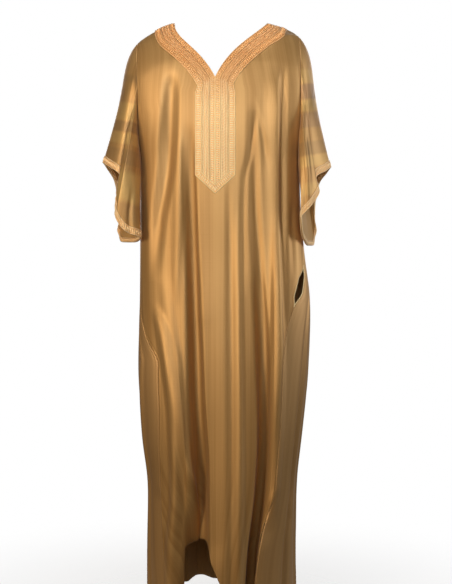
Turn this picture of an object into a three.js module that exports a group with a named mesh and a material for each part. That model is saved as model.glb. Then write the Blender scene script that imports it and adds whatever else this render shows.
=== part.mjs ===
// A collarless satin djellaba on an unseen figure: wide kimono sleeves to the elbow, a V neck
// with a pointed braided plastron, two side gores, a pocket slit on one side and open side slits.
// Millimetres, +Z up, the front faces -Y. The origin is over the neck, at the height of the shoulders.
import * as THREE from "three";

// ---------- driving sizes ----------
const WALL = 1.2; // satin with its turned edges, as one rigid wall
const SEAM_GAP = 0.3; // between two pieces at a seam
const CLOTH_COLOUR = 0x9c743c;
const GORE_COLOUR = 0x8f6a36;
const SLEEVE_COLOUR = 0x94703a;
const BRAID_COLOUR = 0xd9a566;
const PLAIN_BRAID_COLOUR = 0xcf9a5c;

// The three braids lie side by side, outward from the edge of the neck or from the centre seam.
const BRAID = { inner: 13, middle: 19, outer: 16.5, thick: 1.4 };
const PLASTRON = {
  half: BRAID.inner + BRAID.middle + BRAID.outer,
  corner: -384, // height where its straight sides end
  tip: -429, // height of its point
};
const CUFF_BRAID = { wide: 17, thick: 1.4 };
const POCKET_EDGE = { wide: 4, thick: 1.2, lift: 1.1 }; // it stands a little off the curved cloth

// Neck opening, as cubic curves in x and depth below the shoulder line.
const NECK_POINT = { left: -103, right: 129 }; // where the opening crosses the shoulders
const NOTCH = { x: -2, depth: 146 }; // bottom of the V
const BACK_NECK = { x: 13, depth: 122 }; // bottom of the scoop at the back
const FRONT_NECK_HANDLES = {
  left: [[-103, 54], [-44, 66]],
  right: [[106, 34], [30, 73]],
};
const BACK_NECK_HANDLES = {
  left: [[-104, 74], [-48, BACK_NECK.depth]],
  right: [[130, 74], [74, BACK_NECK.depth]],
};

// Rows of the panels. "along" runs from 0 at the shoulder to 1 at the bottom of the neck opening,
// "below" is how far the row lies under the shoulder at the armhole.
const NECK_ROWS = [
  { along: 0, below: 0 },
  { along: 0.06, below: 5 },
  { along: 0.14, below: 16 },
  { along: 0.25, below: 34 },
  { along: 0.4, below: 58 },
  { along: 0.58, below: 88 },
  { along: 0.78, below: 124 },
  { along: 1, below: 160 },
];
// Rows under the neck: height at the centre of the front, of the back, and at the side.
const LOWER_ROWS = [
  { front: -184, back: -188, side: -240 },
  { front: -224, back: -226, side: -268 },
  { front: -264, back: -264, side: -292 },
  { front: -304, back: -304, side: -313 },
  { front: -344, back: -344, side: -330 }, // bottom of the armhole
  { front: PLASTRON.corner, back: -378, side: -368 },
  { front: PLASTRON.tip, back: -424, side: -418 },
  { front: -480, back: -480, side: -478 },
  { front: -540, back: -540, side: -540 },
  { front: -602, back: -602, side: -602 }, // top of the pocket slit
  { front: -653, back: -653, side: -653 }, // widest part of the slit
  { front: -704, back: -704, side: -704 }, // bottom of the pocket slit
  { front: -770, back: -770, side: -770 },
  { front: -840, back: -840, side: -840 },
  { front: -915, back: -915, side: -915 },
  { front: -995, back: -995, side: -995 },
  { front: -1070, back: -1070, side: -1070 },
  { front: -1140, back: -1140, side: -1140 }, // top of the side slits
  { front: -1215, back: -1215, side: -1215 },
  { front: -1285, back: -1285, side: -1285 },
  { front: -1355, back: -1355, side: -1355 },
  { front: -1425, back: -1425, side: -1425 }, // hem
];
const NOTCH_ROW = NECK_ROWS.length - 1;
const UNDERARM_ROW = NOTCH_ROW + 5;
const PLASTRON_ROW = NOTCH_ROW + 6;
const POCKET_ROWS = { top: NOTCH_ROW + 10, widest: NOTCH_ROW + 11, bottom: NOTCH_ROW + 12 };
const SLIT_ROW = NOTCH_ROW + 18;
const HEM_ROW = NOTCH_ROW + LOWER_ROWS.length;
// Each panel is two rigid nodes, parted at the hips, so that collision can follow its folds.
const SPANS = { upper: [0, POCKET_ROWS.widest], lower: [POCKET_ROWS.widest, HEM_ROW] };
const SIDE_COLUMNS = 9; // from the outer braid to the armhole or side seam
const GORE_COLUMNS = 4;
const SLEEVE_ROWS = 7;

// Shoulder line, seen from the front.
const SHOULDER = [
  { x: -222, z: -84 },
  { x: -212, z: -66 },
  { x: -197, z: -49 },
  { x: -172, z: -30 },
  { x: -150, z: -17 },
  { x: -128, z: -6 },
  { x: -103, z: 0 },
  { x: 129, z: 0 },
  { x: 150, z: -4 },
  { x: 172, z: -11 },
  { x: 190, z: -19 },
  { x: 208, z: -32 },
  { x: 222, z: -50 },
];
const SHOULDER_Y = 6;
const SHOULDER_ROUND = { front: 112, back: 96 }; // radius over the shoulder, front to back
const ARMHOLE_X = { left: [-197, -190], right: [208, 206] }; // at the shoulder and at the underarm

// Level sections of the body, as reach to each side from the origin. "square" is the power of the
// superellipse: 2 is round.
const SECTIONS = [
  { z: 0, left: 228, right: 238, front: 78, back: 72, square: 2.3 },
  { z: -60, left: 231, right: 242, front: 92, back: 87, square: 2.3 },
  { z: -150, left: 233, right: 246, front: 107, back: 100, square: 2.3 },
  { z: -230, left: 222, right: 236, front: 116, back: 104, square: 2.3 },
  { z: -290, left: 204, right: 219, front: 116, back: 102, square: 2.3 },
  { z: -330, left: 192, right: 208, front: 113, back: 98, square: 2.3 },
  { z: -420, left: 189, right: 209, front: 107, back: 92, square: 2.3 },
  { z: -560, left: 189, right: 219, front: 104, back: 93, square: 2.3 },
  { z: -700, left: 190, right: 235, front: 109, back: 109, square: 2.3 },
  { z: -850, left: 194, right: 228, front: 118, back: 118, square: 2.3 },
  { z: -1030, left: 180, right: 209, front: 126, back: 121, square: 2.4 },
  { z: -1150, left: 163, right: 196, front: 132, back: 124, square: 2.4 },
  { z: -1310, left: 165, right: 192, front: 138, back: 130, square: 2.4 },
  { z: -1460, left: 166, right: 193, front: 142, back: 136, square: 2.4 },
];

// Seams of the gores, in degrees round the section from the side. "front" is the seam to the front
// panel; "panel" and "gore" are how far the two edges part there, at the pocket slit and at the open
// side slits; "back" is the seam to the back.
const LEFT_SEAMS = [
  { z: -330, front: 4, panel: 0, gore: 0, back: 4 },
  { z: -690, front: 9, panel: 0, gore: 0, back: 12 },
  { z: -770, front: 25, panel: 0, gore: 0, back: 22 },
  { z: -845, front: 44, panel: 0, gore: 0, back: 32 },
  { z: -940, front: 44, panel: 0, gore: 0, back: 38 },
  { z: -1070, front: 39, panel: 0, gore: 0, back: 40 },
  { z: -1140, front: 35.5, panel: 0, gore: 0, back: 42 },
  { z: -1285, front: 37, panel: 2, gore: -2, back: 44 },
  { z: -1430, front: 43, panel: 4, gore: -4, back: 44 },
];
const RIGHT_SEAMS = [
  { z: -330, front: 4, panel: 0, gore: 0, back: 4 },
  { z: -520, front: 8, panel: 0, gore: 0, back: 9 },
  { z: -602, front: 17, panel: 0, gore: 0, back: 14 }, // pocket slit
  { z: -653, front: 30, panel: 5.5, gore: -7, back: 19 },
  { z: -704, front: 40, panel: 0, gore: 0, back: 25 },
  { z: -770, front: 48, panel: 0, gore: 0, back: 31 },
  { z: -850, front: 50, panel: 0, gore: 0, back: 36 },
  { z: -1140, front: 51.5, panel: 0, gore: 0, back: 43 },
  { z: -1215, front: 56, panel: 1.5, gore: -1.5, back: 44 },
  { z: -1285, front: 61.5, panel: 2, gore: -2, back: 44 },
  { z: -1430, front: 67, panel: 2.5, gore: -2.5, back: 44 },
];

// Hem of the front panel: it is drawn up where the deep fold left of the centre ends.
const FRONT_HEM = [
  { x: -150, z: -1412 },
  { x: -110, z: -1420 },
  { x: -92, z: -1404 },
  { x: -76, z: -1292 },
  { x: -58, z: -1273 },
  { x: -38, z: -1269 },
  { x: -8, z: -1318 },
  { x: 18, z: -1372 },
  { x: 40, z: -1412 },
  { x: 66, z: -1430 },
  { x: 100, z: -1434 },
  { x: 140, z: -1424 },
];
const SIDE_HEM = -1430;
const BACK_HEM = -1414;
const HEM_STARTS = -1000; // above this height the rows are level

// The largest folds: centre, half width and rise of each at some heights. A trough has a minus sign.
const FRONT_FOLDS = {
  left_chest_trough: [
    { z: -110, x: -145, half: 20, rise: 0 },
    { z: -208, x: -130, half: 22, rise: -10 },
    { z: -350, x: -142, half: 24, rise: -13 },
    { z: -490, x: -140, half: 24, rise: -8 },
    { z: -640, x: -140, half: 22, rise: 0 },
  ],
  left_long_trough: [
    { z: -225, x: -74, half: 16, rise: 0 },
    { z: -450, x: -70, half: 18, rise: -8 },
    { z: -700, x: -66, half: 24, rise: -15 },
    { z: -900, x: -60, half: 26, rise: -20 },
    { z: -1100, x: -45, half: 26, rise: -30 },
    { z: -1280, x: -50, half: 34, rise: -46 },
    { z: -1430, x: -55, half: 40, rise: -58 },
  ],
  left_diagonal_ridge: [
    { z: -680, x: -150, half: 18, rise: 0 },
    { z: -790, x: -124, half: 24, rise: 10 },
    { z: -990, x: -98, half: 24, rise: 14 },
    { z: -1150, x: -84, half: 24, rise: 14 },
    { z: -1300, x: -100, half: 28, rise: 12 },
    { z: -1430, x: -108, half: 28, rise: 12 },
  ],
  centre_fold: [
    { z: -600, x: 0, half: 44, rise: 0 },
    { z: -990, x: 4, half: 46, rise: 10 },
    { z: -1200, x: 14, half: 50, rise: 16 },
    { z: -1430, x: 22, half: 56, rise: 20 },
  ],
  right_deep_trough: [
    { z: -600, x: 98, half: 18, rise: 0 },
    { z: -800, x: 101, half: 20, rise: -13 },
    { z: -990, x: 104, half: 22, rise: -24 },
    { z: -1150, x: 94, half: 24, rise: -30 },
    { z: -1430, x: 88, half: 24, rise: -34 },
  ],
  right_ridge: [
    { z: -440, x: 138, half: 18, rise: 0 },
    { z: -700, x: 139, half: 20, rise: 9 },
    { z: -990, x: 136, half: 18, rise: 12 },
    { z: -1200, x: 126, half: 16, rise: 10 },
    { z: -1430, x: 122, half: 16, rise: 6 },
  ],
};
const BACK_FOLDS = {
  left_back_trough: [
    { z: -240, x: -100, half: 22, rise: 0 },
    { z: -600, x: -96, half: 26, rise: -12 },
    { z: -1000, x: -92, half: 28, rise: -22 },
    { z: -1450, x: -84, half: 32, rise: -32 },
  ],
  middle_back_trough: [
    { z: -420, x: 6, half: 22, rise: 0 },
    { z: -760, x: 2, half: 28, rise: -12 },
    { z: -1100, x: -4, half: 30, rise: -22 },
    { z: -1450, x: 0, half: 36, rise: -30 },
  ],
  right_back_trough: [
    { z: -200, x: 118, half: 22, rise: 0 },
    { z: -500, x: 112, half: 26, rise: -14 },
    { z: -900, x: 106, half: 28, rise: -18 },
    { z: -1450, x: 96, half: 32, rise: -34 },
  ],
  left_back_ridge: [
    { z: -500, x: -48, half: 24, rise: 0 },
    { z: -900, x: -46, half: 26, rise: 8 },
    { z: -1450, x: -40, half: 30, rise: 14 },
  ],
  right_back_ridge: [
    { z: -560, x: 58, half: 24, rise: 0 },
    { z: -1000, x: 54, half: 26, rise: 9 },
    { z: -1450, x: 48, half: 30, rise: 14 },
  ],
};
const FOLDS_FADE = 0.9; // share of the half width of the body where folds begin to flatten

// Edge of each cuff: round is the place round the sleeve, from 0 at its top, over the front, to the
// underarm at a half, and back. The sleeve swells outward near the shoulder by "out", and forward
// along its middle by "fore".
const LEFT_CUFF = [
  { round: 0.0, x: -283, y: 9, z: -346, out: 12, fore: 0 },
  { round: 0.07, x: -264, y: -28, z: -359, out: 8, fore: 2 },
  { round: 0.13, x: -242, y: -48, z: -374, out: 4, fore: -4 },
  { round: 0.19, x: -228, y: -44, z: -400, out: -3, fore: -10 },
  { round: 0.26, x: -240, y: -80, z: -452, out: 2, fore: 14 },
  { round: 0.32, x: -244, y: -94, z: -480, out: 2, fore: 26 },
  { round: 0.39, x: -220, y: -96, z: -519, out: -3, fore: 22 },
  { round: 0.46, x: -184, y: -74, z: -536, out: -5, fore: 14 },
  { round: 0.52, x: -204, y: -20, z: -546, out: 10, fore: 0 },
  { round: 0.6, x: -237, y: 30, z: -545, out: 14, fore: -6 },
  { round: 0.7, x: -247, y: 60, z: -514, out: 10, fore: -20 },
  { round: 0.79, x: -249, y: 68, z: -446, out: 6, fore: -18 },
  { round: 0.88, x: -257, y: 54, z: -392, out: 6, fore: -10 },
  { round: 0.95, x: -273, y: 30, z: -362, out: 11, fore: -4 },
];
const RIGHT_CUFF = [
  { round: 0.0, x: 287, y: 6, z: -358, out: 14, fore: 0 },
  { round: 0.08, x: 270, y: -30, z: -370, out: 9, fore: 4 },
  { round: 0.15, x: 246, y: -52, z: -385, out: 6, fore: 8 },
  { round: 0.2, x: 243, y: -56, z: -404, out: 4, fore: 6 },
  { round: 0.24, x: 252, y: -66, z: -421, out: 4, fore: 6 },
  { round: 0.32, x: 222, y: -92, z: -466, out: 0, fore: 18 },
  { round: 0.38, x: 206, y: -90, z: -489, out: -4, fore: 18 },
  { round: 0.45, x: 211, y: -68, z: -528, out: -4, fore: 10 },
  { round: 0.52, x: 229, y: -18, z: -554, out: 6, fore: 0 },
  { round: 0.6, x: 244, y: 30, z: -554, out: 10, fore: -6 },
  { round: 0.7, x: 251, y: 58, z: -516, out: 8, fore: -18 },
  { round: 0.79, x: 253, y: 68, z: -444, out: 8, fore: -18 },
  { round: 0.88, x: 262, y: 54, z: -396, out: 8, fore: -10 },
  { round: 0.95, x: 278, y: 30, z: -372, out: 12, fore: -4 },
];

// ---------- tables and curves ----------
const clamp = (value, low, high) => Math.min(high, Math.max(low, value));
const mix = (a, b, share) => a + (b - a) * share;
const radians = (degrees) => (degrees * Math.PI) / 180;
function ease(low, high, value) {
  const t = clamp((value - low) / (high - low), 0, 1);
  return t * t * (3 - 2 * t);
}

// Slope of a table's curve at one row, 0 at its tops and bottoms, so that it never overshoots.
function slopeAt(table, by, key, row) {
  const step = (i) => (table[i + 1][key] - table[i][key]) / (table[i + 1][by] - table[i][by]);
  if (row === 0) return step(0);
  if (row === table.length - 1) return step(row - 1);
  const before = step(row - 1);
  const after = step(row);
  return before * after <= 0 ? 0 : (2 * before * after) / (before + after);
}

// A column of a table at any place between its rows, on one smooth curve.
function read(table, by, place, key) {
  const rising = table[1][by] > table[0][by];
  const low = rising ? table[0][by] : table[table.length - 1][by];
  const high = rising ? table[table.length - 1][by] : table[0][by];
  const at = clamp(place, low, high);
  let row = 0;
  while (row < table.length - 2 && (rising ? at > table[row + 1][by] : at < table[row + 1][by])) row++;
  const span = table[row + 1][by] - table[row][by];
  const t = (at - table[row][by]) / span;
  const startSlope = slopeAt(table, by, key, row) * span;
  const endSlope = slopeAt(table, by, key, row + 1) * span;
  const a = table[row][key];
  const b = table[row + 1][key];
  return (
    a * (1 + 2 * t) * (1 - t) ** 2 +
    startSlope * t * (1 - t) ** 2 +
    b * t * t * (3 - 2 * t) -
    endSlope * t * t * (1 - t)
  );
}

// The same for a closed table that runs once round a sleeve.
function readRound(table, place, key) {
  const before = table.slice(-2).map((row) => ({ ...row, round: row.round - 1 }));
  const after = table.slice(0, 2).map((row) => ({ ...row, round: row.round + 1 }));
  return read([...before, ...table, ...after], "round", place - Math.floor(place), key);
}

// ---------- the form of the body ----------
const shoulderAt = (x) => read(SHOULDER, "x", x, "z");

function sectionAt(z) {
  const left = read(SECTIONS, "z", z, "left");
  const right = read(SECTIONS, "z", z, "right");
  return {
    middle: (right - left) / 2,
    half: (right + left) / 2,
    front: read(SECTIONS, "z", z, "front"),
    back: read(SECTIONS, "z", z, "back"),
    square: read(SECTIONS, "z", z, "square"),
  };
}

function foldRise(folds, x, z) {
  let rise = 0;
  for (const fold of Object.values(folds)) {
    if (z > fold[0].z) continue;
    const off = (x - read(fold, "z", z, "x")) / read(fold, "z", z, "half");
    if (Math.abs(off) < 1) rise += read(fold, "z", z, "rise") * Math.cos((off * Math.PI) / 2) ** 2;
  }
  return rise;
}

// A point of the cloth round the body. The angle is 0 at the right side, -90 degrees at the front.
function onBody(angle, z) {
  const section = sectionAt(z);
  const across = Math.cos(angle);
  const deep = Math.sin(angle);
  const depth = deep < 0 ? section.front : section.back;
  const power = 2 / section.square;
  const share = Math.sign(across) * Math.abs(across) ** power;
  let x = section.middle + section.half * share;
  let y = depth * Math.sign(deep) * Math.abs(deep) ** power;
  const facing = new THREE.Vector2(
    (Math.sign(across) * Math.abs(across) ** (2 - power)) / section.half,
    (Math.sign(deep) * Math.abs(deep) ** (2 - power)) / depth,
  ).normalize();
  const below = Math.max(0, shoulderAt(x) - z);
  const rise = foldRise(deep < 0 ? FRONT_FOLDS : BACK_FOLDS, x, z) * (1 - ease(FOLDS_FADE, 1, Math.abs(share)));
  x += rise * facing.x;
  y += rise * facing.y;
  const round = deep < 0 ? SHOULDER_ROUND.front : SHOULDER_ROUND.back;
  const over = Math.sqrt(1 - (1 - Math.min(1, below / round)) ** 2);
  return new THREE.Vector3(x, SHOULDER_Y + (y - SHOULDER_Y) * over, z);
}

// The angle at which the section at height z reaches x, on the front or the back.
function angleAt(x, z, face) {
  const section = sectionAt(z);
  const share = clamp((x - section.middle) / section.half, -1, 1);
  const across = Math.sign(share) * Math.abs(share) ** (section.square / 2);
  return (face === "front" ? -1 : 1) * Math.acos(across);
}

// The angle of a side seam at height z, for the edge of the front panel, of the gore, or the back.
function seamAngle(side, z, edge) {
  const seams = side === "left" ? LEFT_SEAMS : RIGHT_SEAMS;
  const parted = { front: "panel", gore: "gore" }[edge];
  const degrees = edge === "back" ? read(seams, "z", z, "back") : read(seams, "z", z, "front") + read(seams, "z", z, parted);
  const turn = radians(degrees) * (edge === "back" ? 1 : -1);
  return side === "left" ? Math.PI * (edge === "back" ? 1 : -1) - turn : turn;
}
function seamX(side, z, edge) {
  const section = sectionAt(z);
  const across = Math.cos(seamAngle(side, z, edge));
  return section.middle + section.half * Math.sign(across) * Math.abs(across) ** (2 / section.square);
}

// ---------- rows of the front and the back ----------
// Curve of the neck edge on one side, and the direction away from the opening, in x and depth.
function neckEdge(face, side, along) {
  const bottom = face === "front" ? NOTCH : BACK_NECK;
  const handles = (face === "front" ? FRONT_NECK_HANDLES : BACK_NECK_HANDLES)[side];
  const points = [[NECK_POINT[side], 0], ...handles, [bottom.x, bottom.depth]];
  const curve = new THREE.CubicBezierCurve(...points.map(([x, depth]) => new THREE.Vector2(x, depth)));
  const tangent = along === 0 ? new THREE.Vector2(0, 1) : curve.getTangent(along);
  const away = side === "left" ? new THREE.Vector2(-tangent.y, tangent.x) : new THREE.Vector2(tangent.y, -tangent.x);
  return { point: curve.getPoint(along), away };
}

const BRAID_LINES = [0, BRAID.inner, BRAID.inner + BRAID.middle, PLASTRON.half];
const COLUMNS = BRAID_LINES.length - 1 + SIDE_COLUMNS;

// Height of a lower row: level from the centre to the side, then drawn to the hem line.
function lowerHeight(face, row, x, share) {
  const heights = LOWER_ROWS[row - NOTCH_ROW - 1];
  const level = mix(heights[face], heights.side, ease(0, 1, share));
  const hem = face === "front" ? read(FRONT_HEM, "x", x, "z") : mix(BACK_HEM, SIDE_HEM, share ** 4);
  const flat = LOWER_ROWS[LOWER_ROWS.length - 1].side;
  return level + (hem - flat) * ease(HEM_STARTS, flat, level);
}

// One row of one half, from the neck edge or the centre line out to the armhole or side seam.
function halfRow(face, side, row) {
  const sign = side === "left" ? -1 : 1;
  const [armholeTop, armholeBottom] = ARMHOLE_X[side];
  const armholeHeight = (below) => shoulderAt(armholeTop) - below;
  const armholeAt = (z) => mix(armholeTop, armholeBottom, clamp((z + 49) / (49 - 330), 0, 1));
  const place = (x, z) => onBody(angleAt(x, z, face), z);
  const points = [];
  if (row <= NOTCH_ROW) {
    const { along, below } = NECK_ROWS[row];
    const { point, away } = neckEdge(face, side, along);
    for (const line of BRAID_LINES) {
      const x = point.x + away.x * line;
      points.push(place(x, shoulderAt(x) - point.y - away.y * line));
    }
    const last = { x: point.x + away.x * PLASTRON.half, depth: point.y + away.y * PLASTRON.half };
    const edgeX = armholeAt(armholeHeight(below));
    for (let k = 1; k <= SIDE_COLUMNS; k++) {
      const x = mix(last.x, edgeX, k / SIDE_COLUMNS);
      points.push(place(x, shoulderAt(x) - mix(last.depth, below, k / SIDE_COLUMNS)));
    }
    return points;
  }
  const heights = LOWER_ROWS[row - NOTCH_ROW - 1];
  const centre = face === "front" ? NOTCH.x : BACK_NECK.x;
  const start = face === "front" ? sign * PLASTRON.half : 0;
  const edgeX = row < UNDERARM_ROW ? armholeAt(heights.side) : seamX(side, heights.side, face);
  if (face === "front")
    for (const line of BRAID_LINES.slice(0, -1)) {
      const x = centre + sign * line;
      points.push(place(x, lowerHeight(face, row, x, 0)));
    }
  for (let k = 0; k <= SIDE_COLUMNS; k++) {
    const share = k / SIDE_COLUMNS;
    if (k === SIDE_COLUMNS && row >= UNDERARM_ROW) {
      const z = lowerHeight(face, row, edgeX, 1);
      points.push(onBody(seamAngle(side, z, face), z));
      continue;
    }
    const x = mix(centre + start, edgeX, share);
    points.push(place(x, lowerHeight(face, row, x, share)));
  }
  return points;
}

// ---------- sheets: points and four-cornered cells, wound so that they face out ----------
class Sheet {
  constructor() {
    this.points = [];
    this.cells = [];
    this.places = new Map();
  }
  // Number of a point, shared by all cells that meet there.
  add(point) {
    const key = keyOf(point);
    if (!this.places.has(key)) {
      this.places.set(key, this.points.length);
      this.points.push(point.clone());
    }
    return this.places.get(key);
  }
  // A grid of rows that run the same way; closed joins each row's end to its start.
  grid(rows, closed = false) {
    for (let i = 0; i + 1 < rows.length; i++) {
      const count = rows[i].length;
      for (let j = 0; j < (closed ? count : count - 1); j++) {
        const next = (j + 1) % count;
        this.cell(rows[i][j], rows[i + 1][j], rows[i + 1][next], rows[i][next]);
      }
    }
    return this;
  }
  cell(...corners) {
    const numbers = corners.map((corner) => this.add(corner));
    const own = numbers.filter((number, at) => numbers.indexOf(number) === at);
    if (own.length > 2) this.cells.push(own);
  }
  // Triangles of all cells, each four-cornered one cut along its shorter diagonal.
  triangles() {
    const list = [];
    for (const cell of this.cells) {
      if (cell.length === 3) {
        list.push(cell);
        continue;
      }
      const [a, b, c, d] = cell;
      const p = this.points;
      if (p[a].distanceTo(p[c]) <= p[b].distanceTo(p[d])) list.push([a, b, c], [a, c, d]);
      else list.push([a, b, d], [b, c, d]);
    }
    return list;
  }
}
const keyOf = (p) => [p.x, p.y, p.z].map((value) => Math.round(value * 100)).join(",");

function faceNormal(points, [a, b, c]) {
  const ab = points[b].clone().sub(points[a]);
  return ab.cross(points[c].clone().sub(points[a]));
}

// Directions out of the cloth, shared by every panel that meets at a point: halfway between theirs,
// and longer where the panels meet at an angle, so that a seam is mitred and its walls stay thick.
const LONGEST_MITRE = 3;
const outward = new Map();
function shareNormals(sheet) {
  const own = sheet.points.map(() => new THREE.Vector3());
  for (const triangle of sheet.triangles())
    for (const number of triangle) own[number].add(faceNormal(sheet.points, triangle));
  sheet.points.forEach((point, number) => {
    const key = keyOf(point);
    if (!outward.has(key)) outward.set(key, { sum: new THREE.Vector3(), panels: 0 });
    outward.get(key).sum.add(own[number].normalize());
    outward.get(key).panels++;
  });
}
function outwardAt(point) {
  const { sum, panels } = outward.get(keyOf(point));
  return sum.clone().setLength(Math.min(LONGEST_MITRE, panels / sum.length()));
}

// How far each edge point steps in from its seam, half the gap on each side of it.
function stepsFromSeams(sheet, triangles, step) {
  const inward = new Map();
  const counts = new Map();
  for (const [a, b, c] of triangles)
    for (const [from, to] of [[a, b], [b, c], [c, a]]) {
      const key = Math.min(from, to) + "_" + Math.max(from, to);
      counts.set(key, (counts.get(key) || 0) + 1);
    }
  for (const triangle of triangles) {
    const normal = faceNormal(sheet.points, triangle).normalize();
    const [a, b, c] = triangle;
    for (const [from, to] of [[a, b], [b, c], [c, a]]) {
      if (counts.get(Math.min(from, to) + "_" + Math.max(from, to)) > 1) continue;
      const along = sheet.points[to].clone().sub(sheet.points[from]).normalize();
      const inside = normal.clone().cross(along);
      for (const number of [from, to]) inward.set(number, [...(inward.get(number) || []), inside]);
    }
  }
  const steps = new Map();
  for (const [number, [first, second = first]] of inward) {
    const share = step / Math.max(0.4, 1 + first.dot(second));
    steps.set(number, first.clone().add(second).multiplyScalar(share));
  }
  return { steps, counts };
}

// A closed wall on a sheet: from `low` to `high` above its middle surface.
function wall(name, sheet, low, high, material, directionAt = outwardAt) {
  const triangles = sheet.triangles();
  const { steps, counts } = stepsFromSeams(sheet, triangles, SEAM_GAP / 2);
  const count = sheet.points.length;
  const positions = [];
  for (const height of [high, low])
    sheet.points.forEach((point, number) => {
      const at = point.clone().addScaledVector(directionAt(point), height);
      if (steps.has(number)) at.add(steps.get(number));
      positions.push(at.x, at.y, at.z);
    });
  const faces = [];
  for (const [a, b, c] of triangles) {
    faces.push(a, b, c, count + a, count + c, count + b);
    for (const [from, to] of [[a, b], [b, c], [c, a]]) {
      if (counts.get(Math.min(from, to) + "_" + Math.max(from, to)) > 1) continue;
      // A twisted edge face is cut along the same diagonal by both panels that meet there.
      if (keyOf(sheet.points[from]) < keyOf(sheet.points[to]))
        faces.push(from, count + from, count + to, from, count + to, to);
      else faces.push(from, count + from, to, count + from, count + to, to);
    }
  }
  const geometry = new THREE.BufferGeometry();
  geometry.setAttribute("position", new THREE.Float32BufferAttribute(positions, 3));
  geometry.setIndex(faces);
  geometry.computeVertexNormals();
  const mesh = new THREE.Mesh(geometry, material);
  mesh.name = name;
  return mesh;
}

// ---------- panels ----------
const halves = {};
for (const face of ["front", "back"])
  for (const side of ["left", "right"]) {
    halves[face + side] = [];
    for (let row = 0; row <= HEM_ROW; row++) halves[face + side].push(halfRow(face, side, row));
  }

const turned = (rows) => rows.map((row) => [...row].reverse());

// Front: the halves run from side to side, and meet under the notch.
function frontSheet([first, last]) {
  const part = (rows) => rows.slice(first, last + 1);
  return new Sheet().grid(turned(part(halves.frontleft))).grid(part(halves.frontright));
}

// Back: the braid lines follow the scoop, and end at its middle, where the rows under it begin.
function backSheet([first, last]) {
  const sheet = new Sheet();
  const neck = (rows) => rows.slice(first, NOTCH_ROW + 1);
  const under = (rows) => {
    const from = Math.max(first, NOTCH_ROW);
    const top = from === NOTCH_ROW ? rows[from].slice(BRAID_LINES.length - 1) : rows[from];
    return [top, ...rows.slice(from + 1, last + 1)];
  };
  if (first < NOTCH_ROW) sheet.grid(turned(neck(halves.backright))).grid(neck(halves.backleft));
  return sheet.grid(turned(under(halves.backright))).grid(under(halves.backleft));
}

// Gore: from its front seam round the side to its back seam, from the armhole to the hem.
function goreRows(side) {
  const rows = [];
  for (let row = UNDERARM_ROW; row <= HEM_ROW; row++) {
    const level = LOWER_ROWS[row - NOTCH_ROW - 1].side;
    const flat = LOWER_ROWS[LOWER_ROWS.length - 1].side;
    const z = level + (SIDE_HEM - flat) * ease(HEM_STARTS, flat, level);
    const shared = row <= SLIT_ROW ? lowerHeight("front", row, seamX(side, level, "front"), 1) : z;
    const points = [];
    for (let k = 0; k <= GORE_COLUMNS; k++) {
      const share = k / GORE_COLUMNS;
      const height = mix(shared, z, share);
      const turn = side === "left" ? 2 * Math.PI : 0;
      const front = seamAngle(side, height, "gore") + turn;
      const back = seamAngle(side, height, "back");
      points.push(onBody(mix(front, back, share), height));
    }
    rows.push(side === "left" ? points.reverse() : points);
  }
  return rows;
}

const sheets = {};
for (const [span, [first, last]] of Object.entries(SPANS)) {
  sheets["front_" + span] = frontSheet([first, last]);
  sheets["back_" + span] = backSheet([first, last]);
  for (const side of ["left", "right"]) {
    const rows = goreRows(side).slice(Math.max(0, first - UNDERARM_ROW), last - UNDERARM_ROW + 1);
    sheets["gore_" + side + "_" + span] = new Sheet().grid(rows);
  }
}

// ---------- sleeves ----------
// The armhole's points in order: down the front from the shoulder, under the arm, up the back.
function armholePoints(side) {
  const last = (row) => row[row.length - 1];
  const front = halves["front" + side].slice(0, UNDERARM_ROW + 1).map(last);
  const back = halves["back" + side].slice(1, UNDERARM_ROW + 1).map(last).reverse();
  const top = goreRows(side)[0];
  const under = (side === "left" ? [...top].reverse() : top).slice(1, -1);
  return [...front, ...under, ...back];
}

// Place of each armhole point round the sleeve, by length along the front and along the back.
function roundShares(points) {
  const lengths = [0];
  points.forEach((point, at) => lengths.push(lengths[at] + point.distanceTo(points[(at + 1) % points.length])));
  return points.map((_, at) => lengths[at] / lengths[points.length]);
}

// Rows of a sleeve from the armhole to the cuff; the last one is as wide as the cuff's braid.
function sleeveRows(side) {
  const cuff = side === "left" ? LEFT_CUFF : RIGHT_CUFF;
  const sign = side === "left" ? -1 : 1;
  const armhole = armholePoints(side);
  const shares = roundShares(armhole);
  const rows = [];
  for (let row = 0; row <= SLEEVE_ROWS; row++)
    rows.push(
      armhole.map((start, at) => {
        const round = shares[at];
        const end = new THREE.Vector3(...["x", "y", "z"].map((key) => readRound(cuff, round, key)));
        const braid = CUFF_BRAID.wide / start.distanceTo(end);
        const along = row === SLEEVE_ROWS ? 1 : (row / (SLEEVE_ROWS - 1)) * (1 - braid);
        const nearShoulder = 15 * along * (1 - along) ** 5; // 1 a sixth of the way down
        const middle = Math.sin(Math.PI * along ** 0.8);
        return start
          .clone()
          .lerp(end, along)
          .add(new THREE.Vector3(
            sign * readRound(cuff, round, "out") * nearShoulder,
            -readRound(cuff, round, "fore") * middle,
            0,
          ));
      }),
    );
  return side === "left" ? rows : turned(rows);
}
const sleeves = { left: sleeveRows("left"), right: sleeveRows("right") };
for (const side of ["left", "right"]) sheets["sleeve_" + side] = new Sheet().grid(sleeves[side], true);
Object.values(sheets).forEach(shareNormals);

// ---------- braids ----------
// Stations of the neck braids, from the left of the point, up and round the neck, down to its right.
function neckStations() {
  const lines = (rows) => rows.map((row) => row.slice(0, BRAID_LINES.length));
  const frontLeft = lines(halves.frontleft.slice(0, PLASTRON_ROW + 1)).reverse();
  const backLeft = lines(halves.backleft.slice(1, NOTCH_ROW + 1));
  const backRight = lines(halves.backright.slice(0, NOTCH_ROW)).reverse();
  const frontRight = lines(halves.frontright.slice(1, PLASTRON_ROW + 1));
  return [...frontLeft, ...backLeft, ...backRight, ...frontRight];
}

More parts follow.
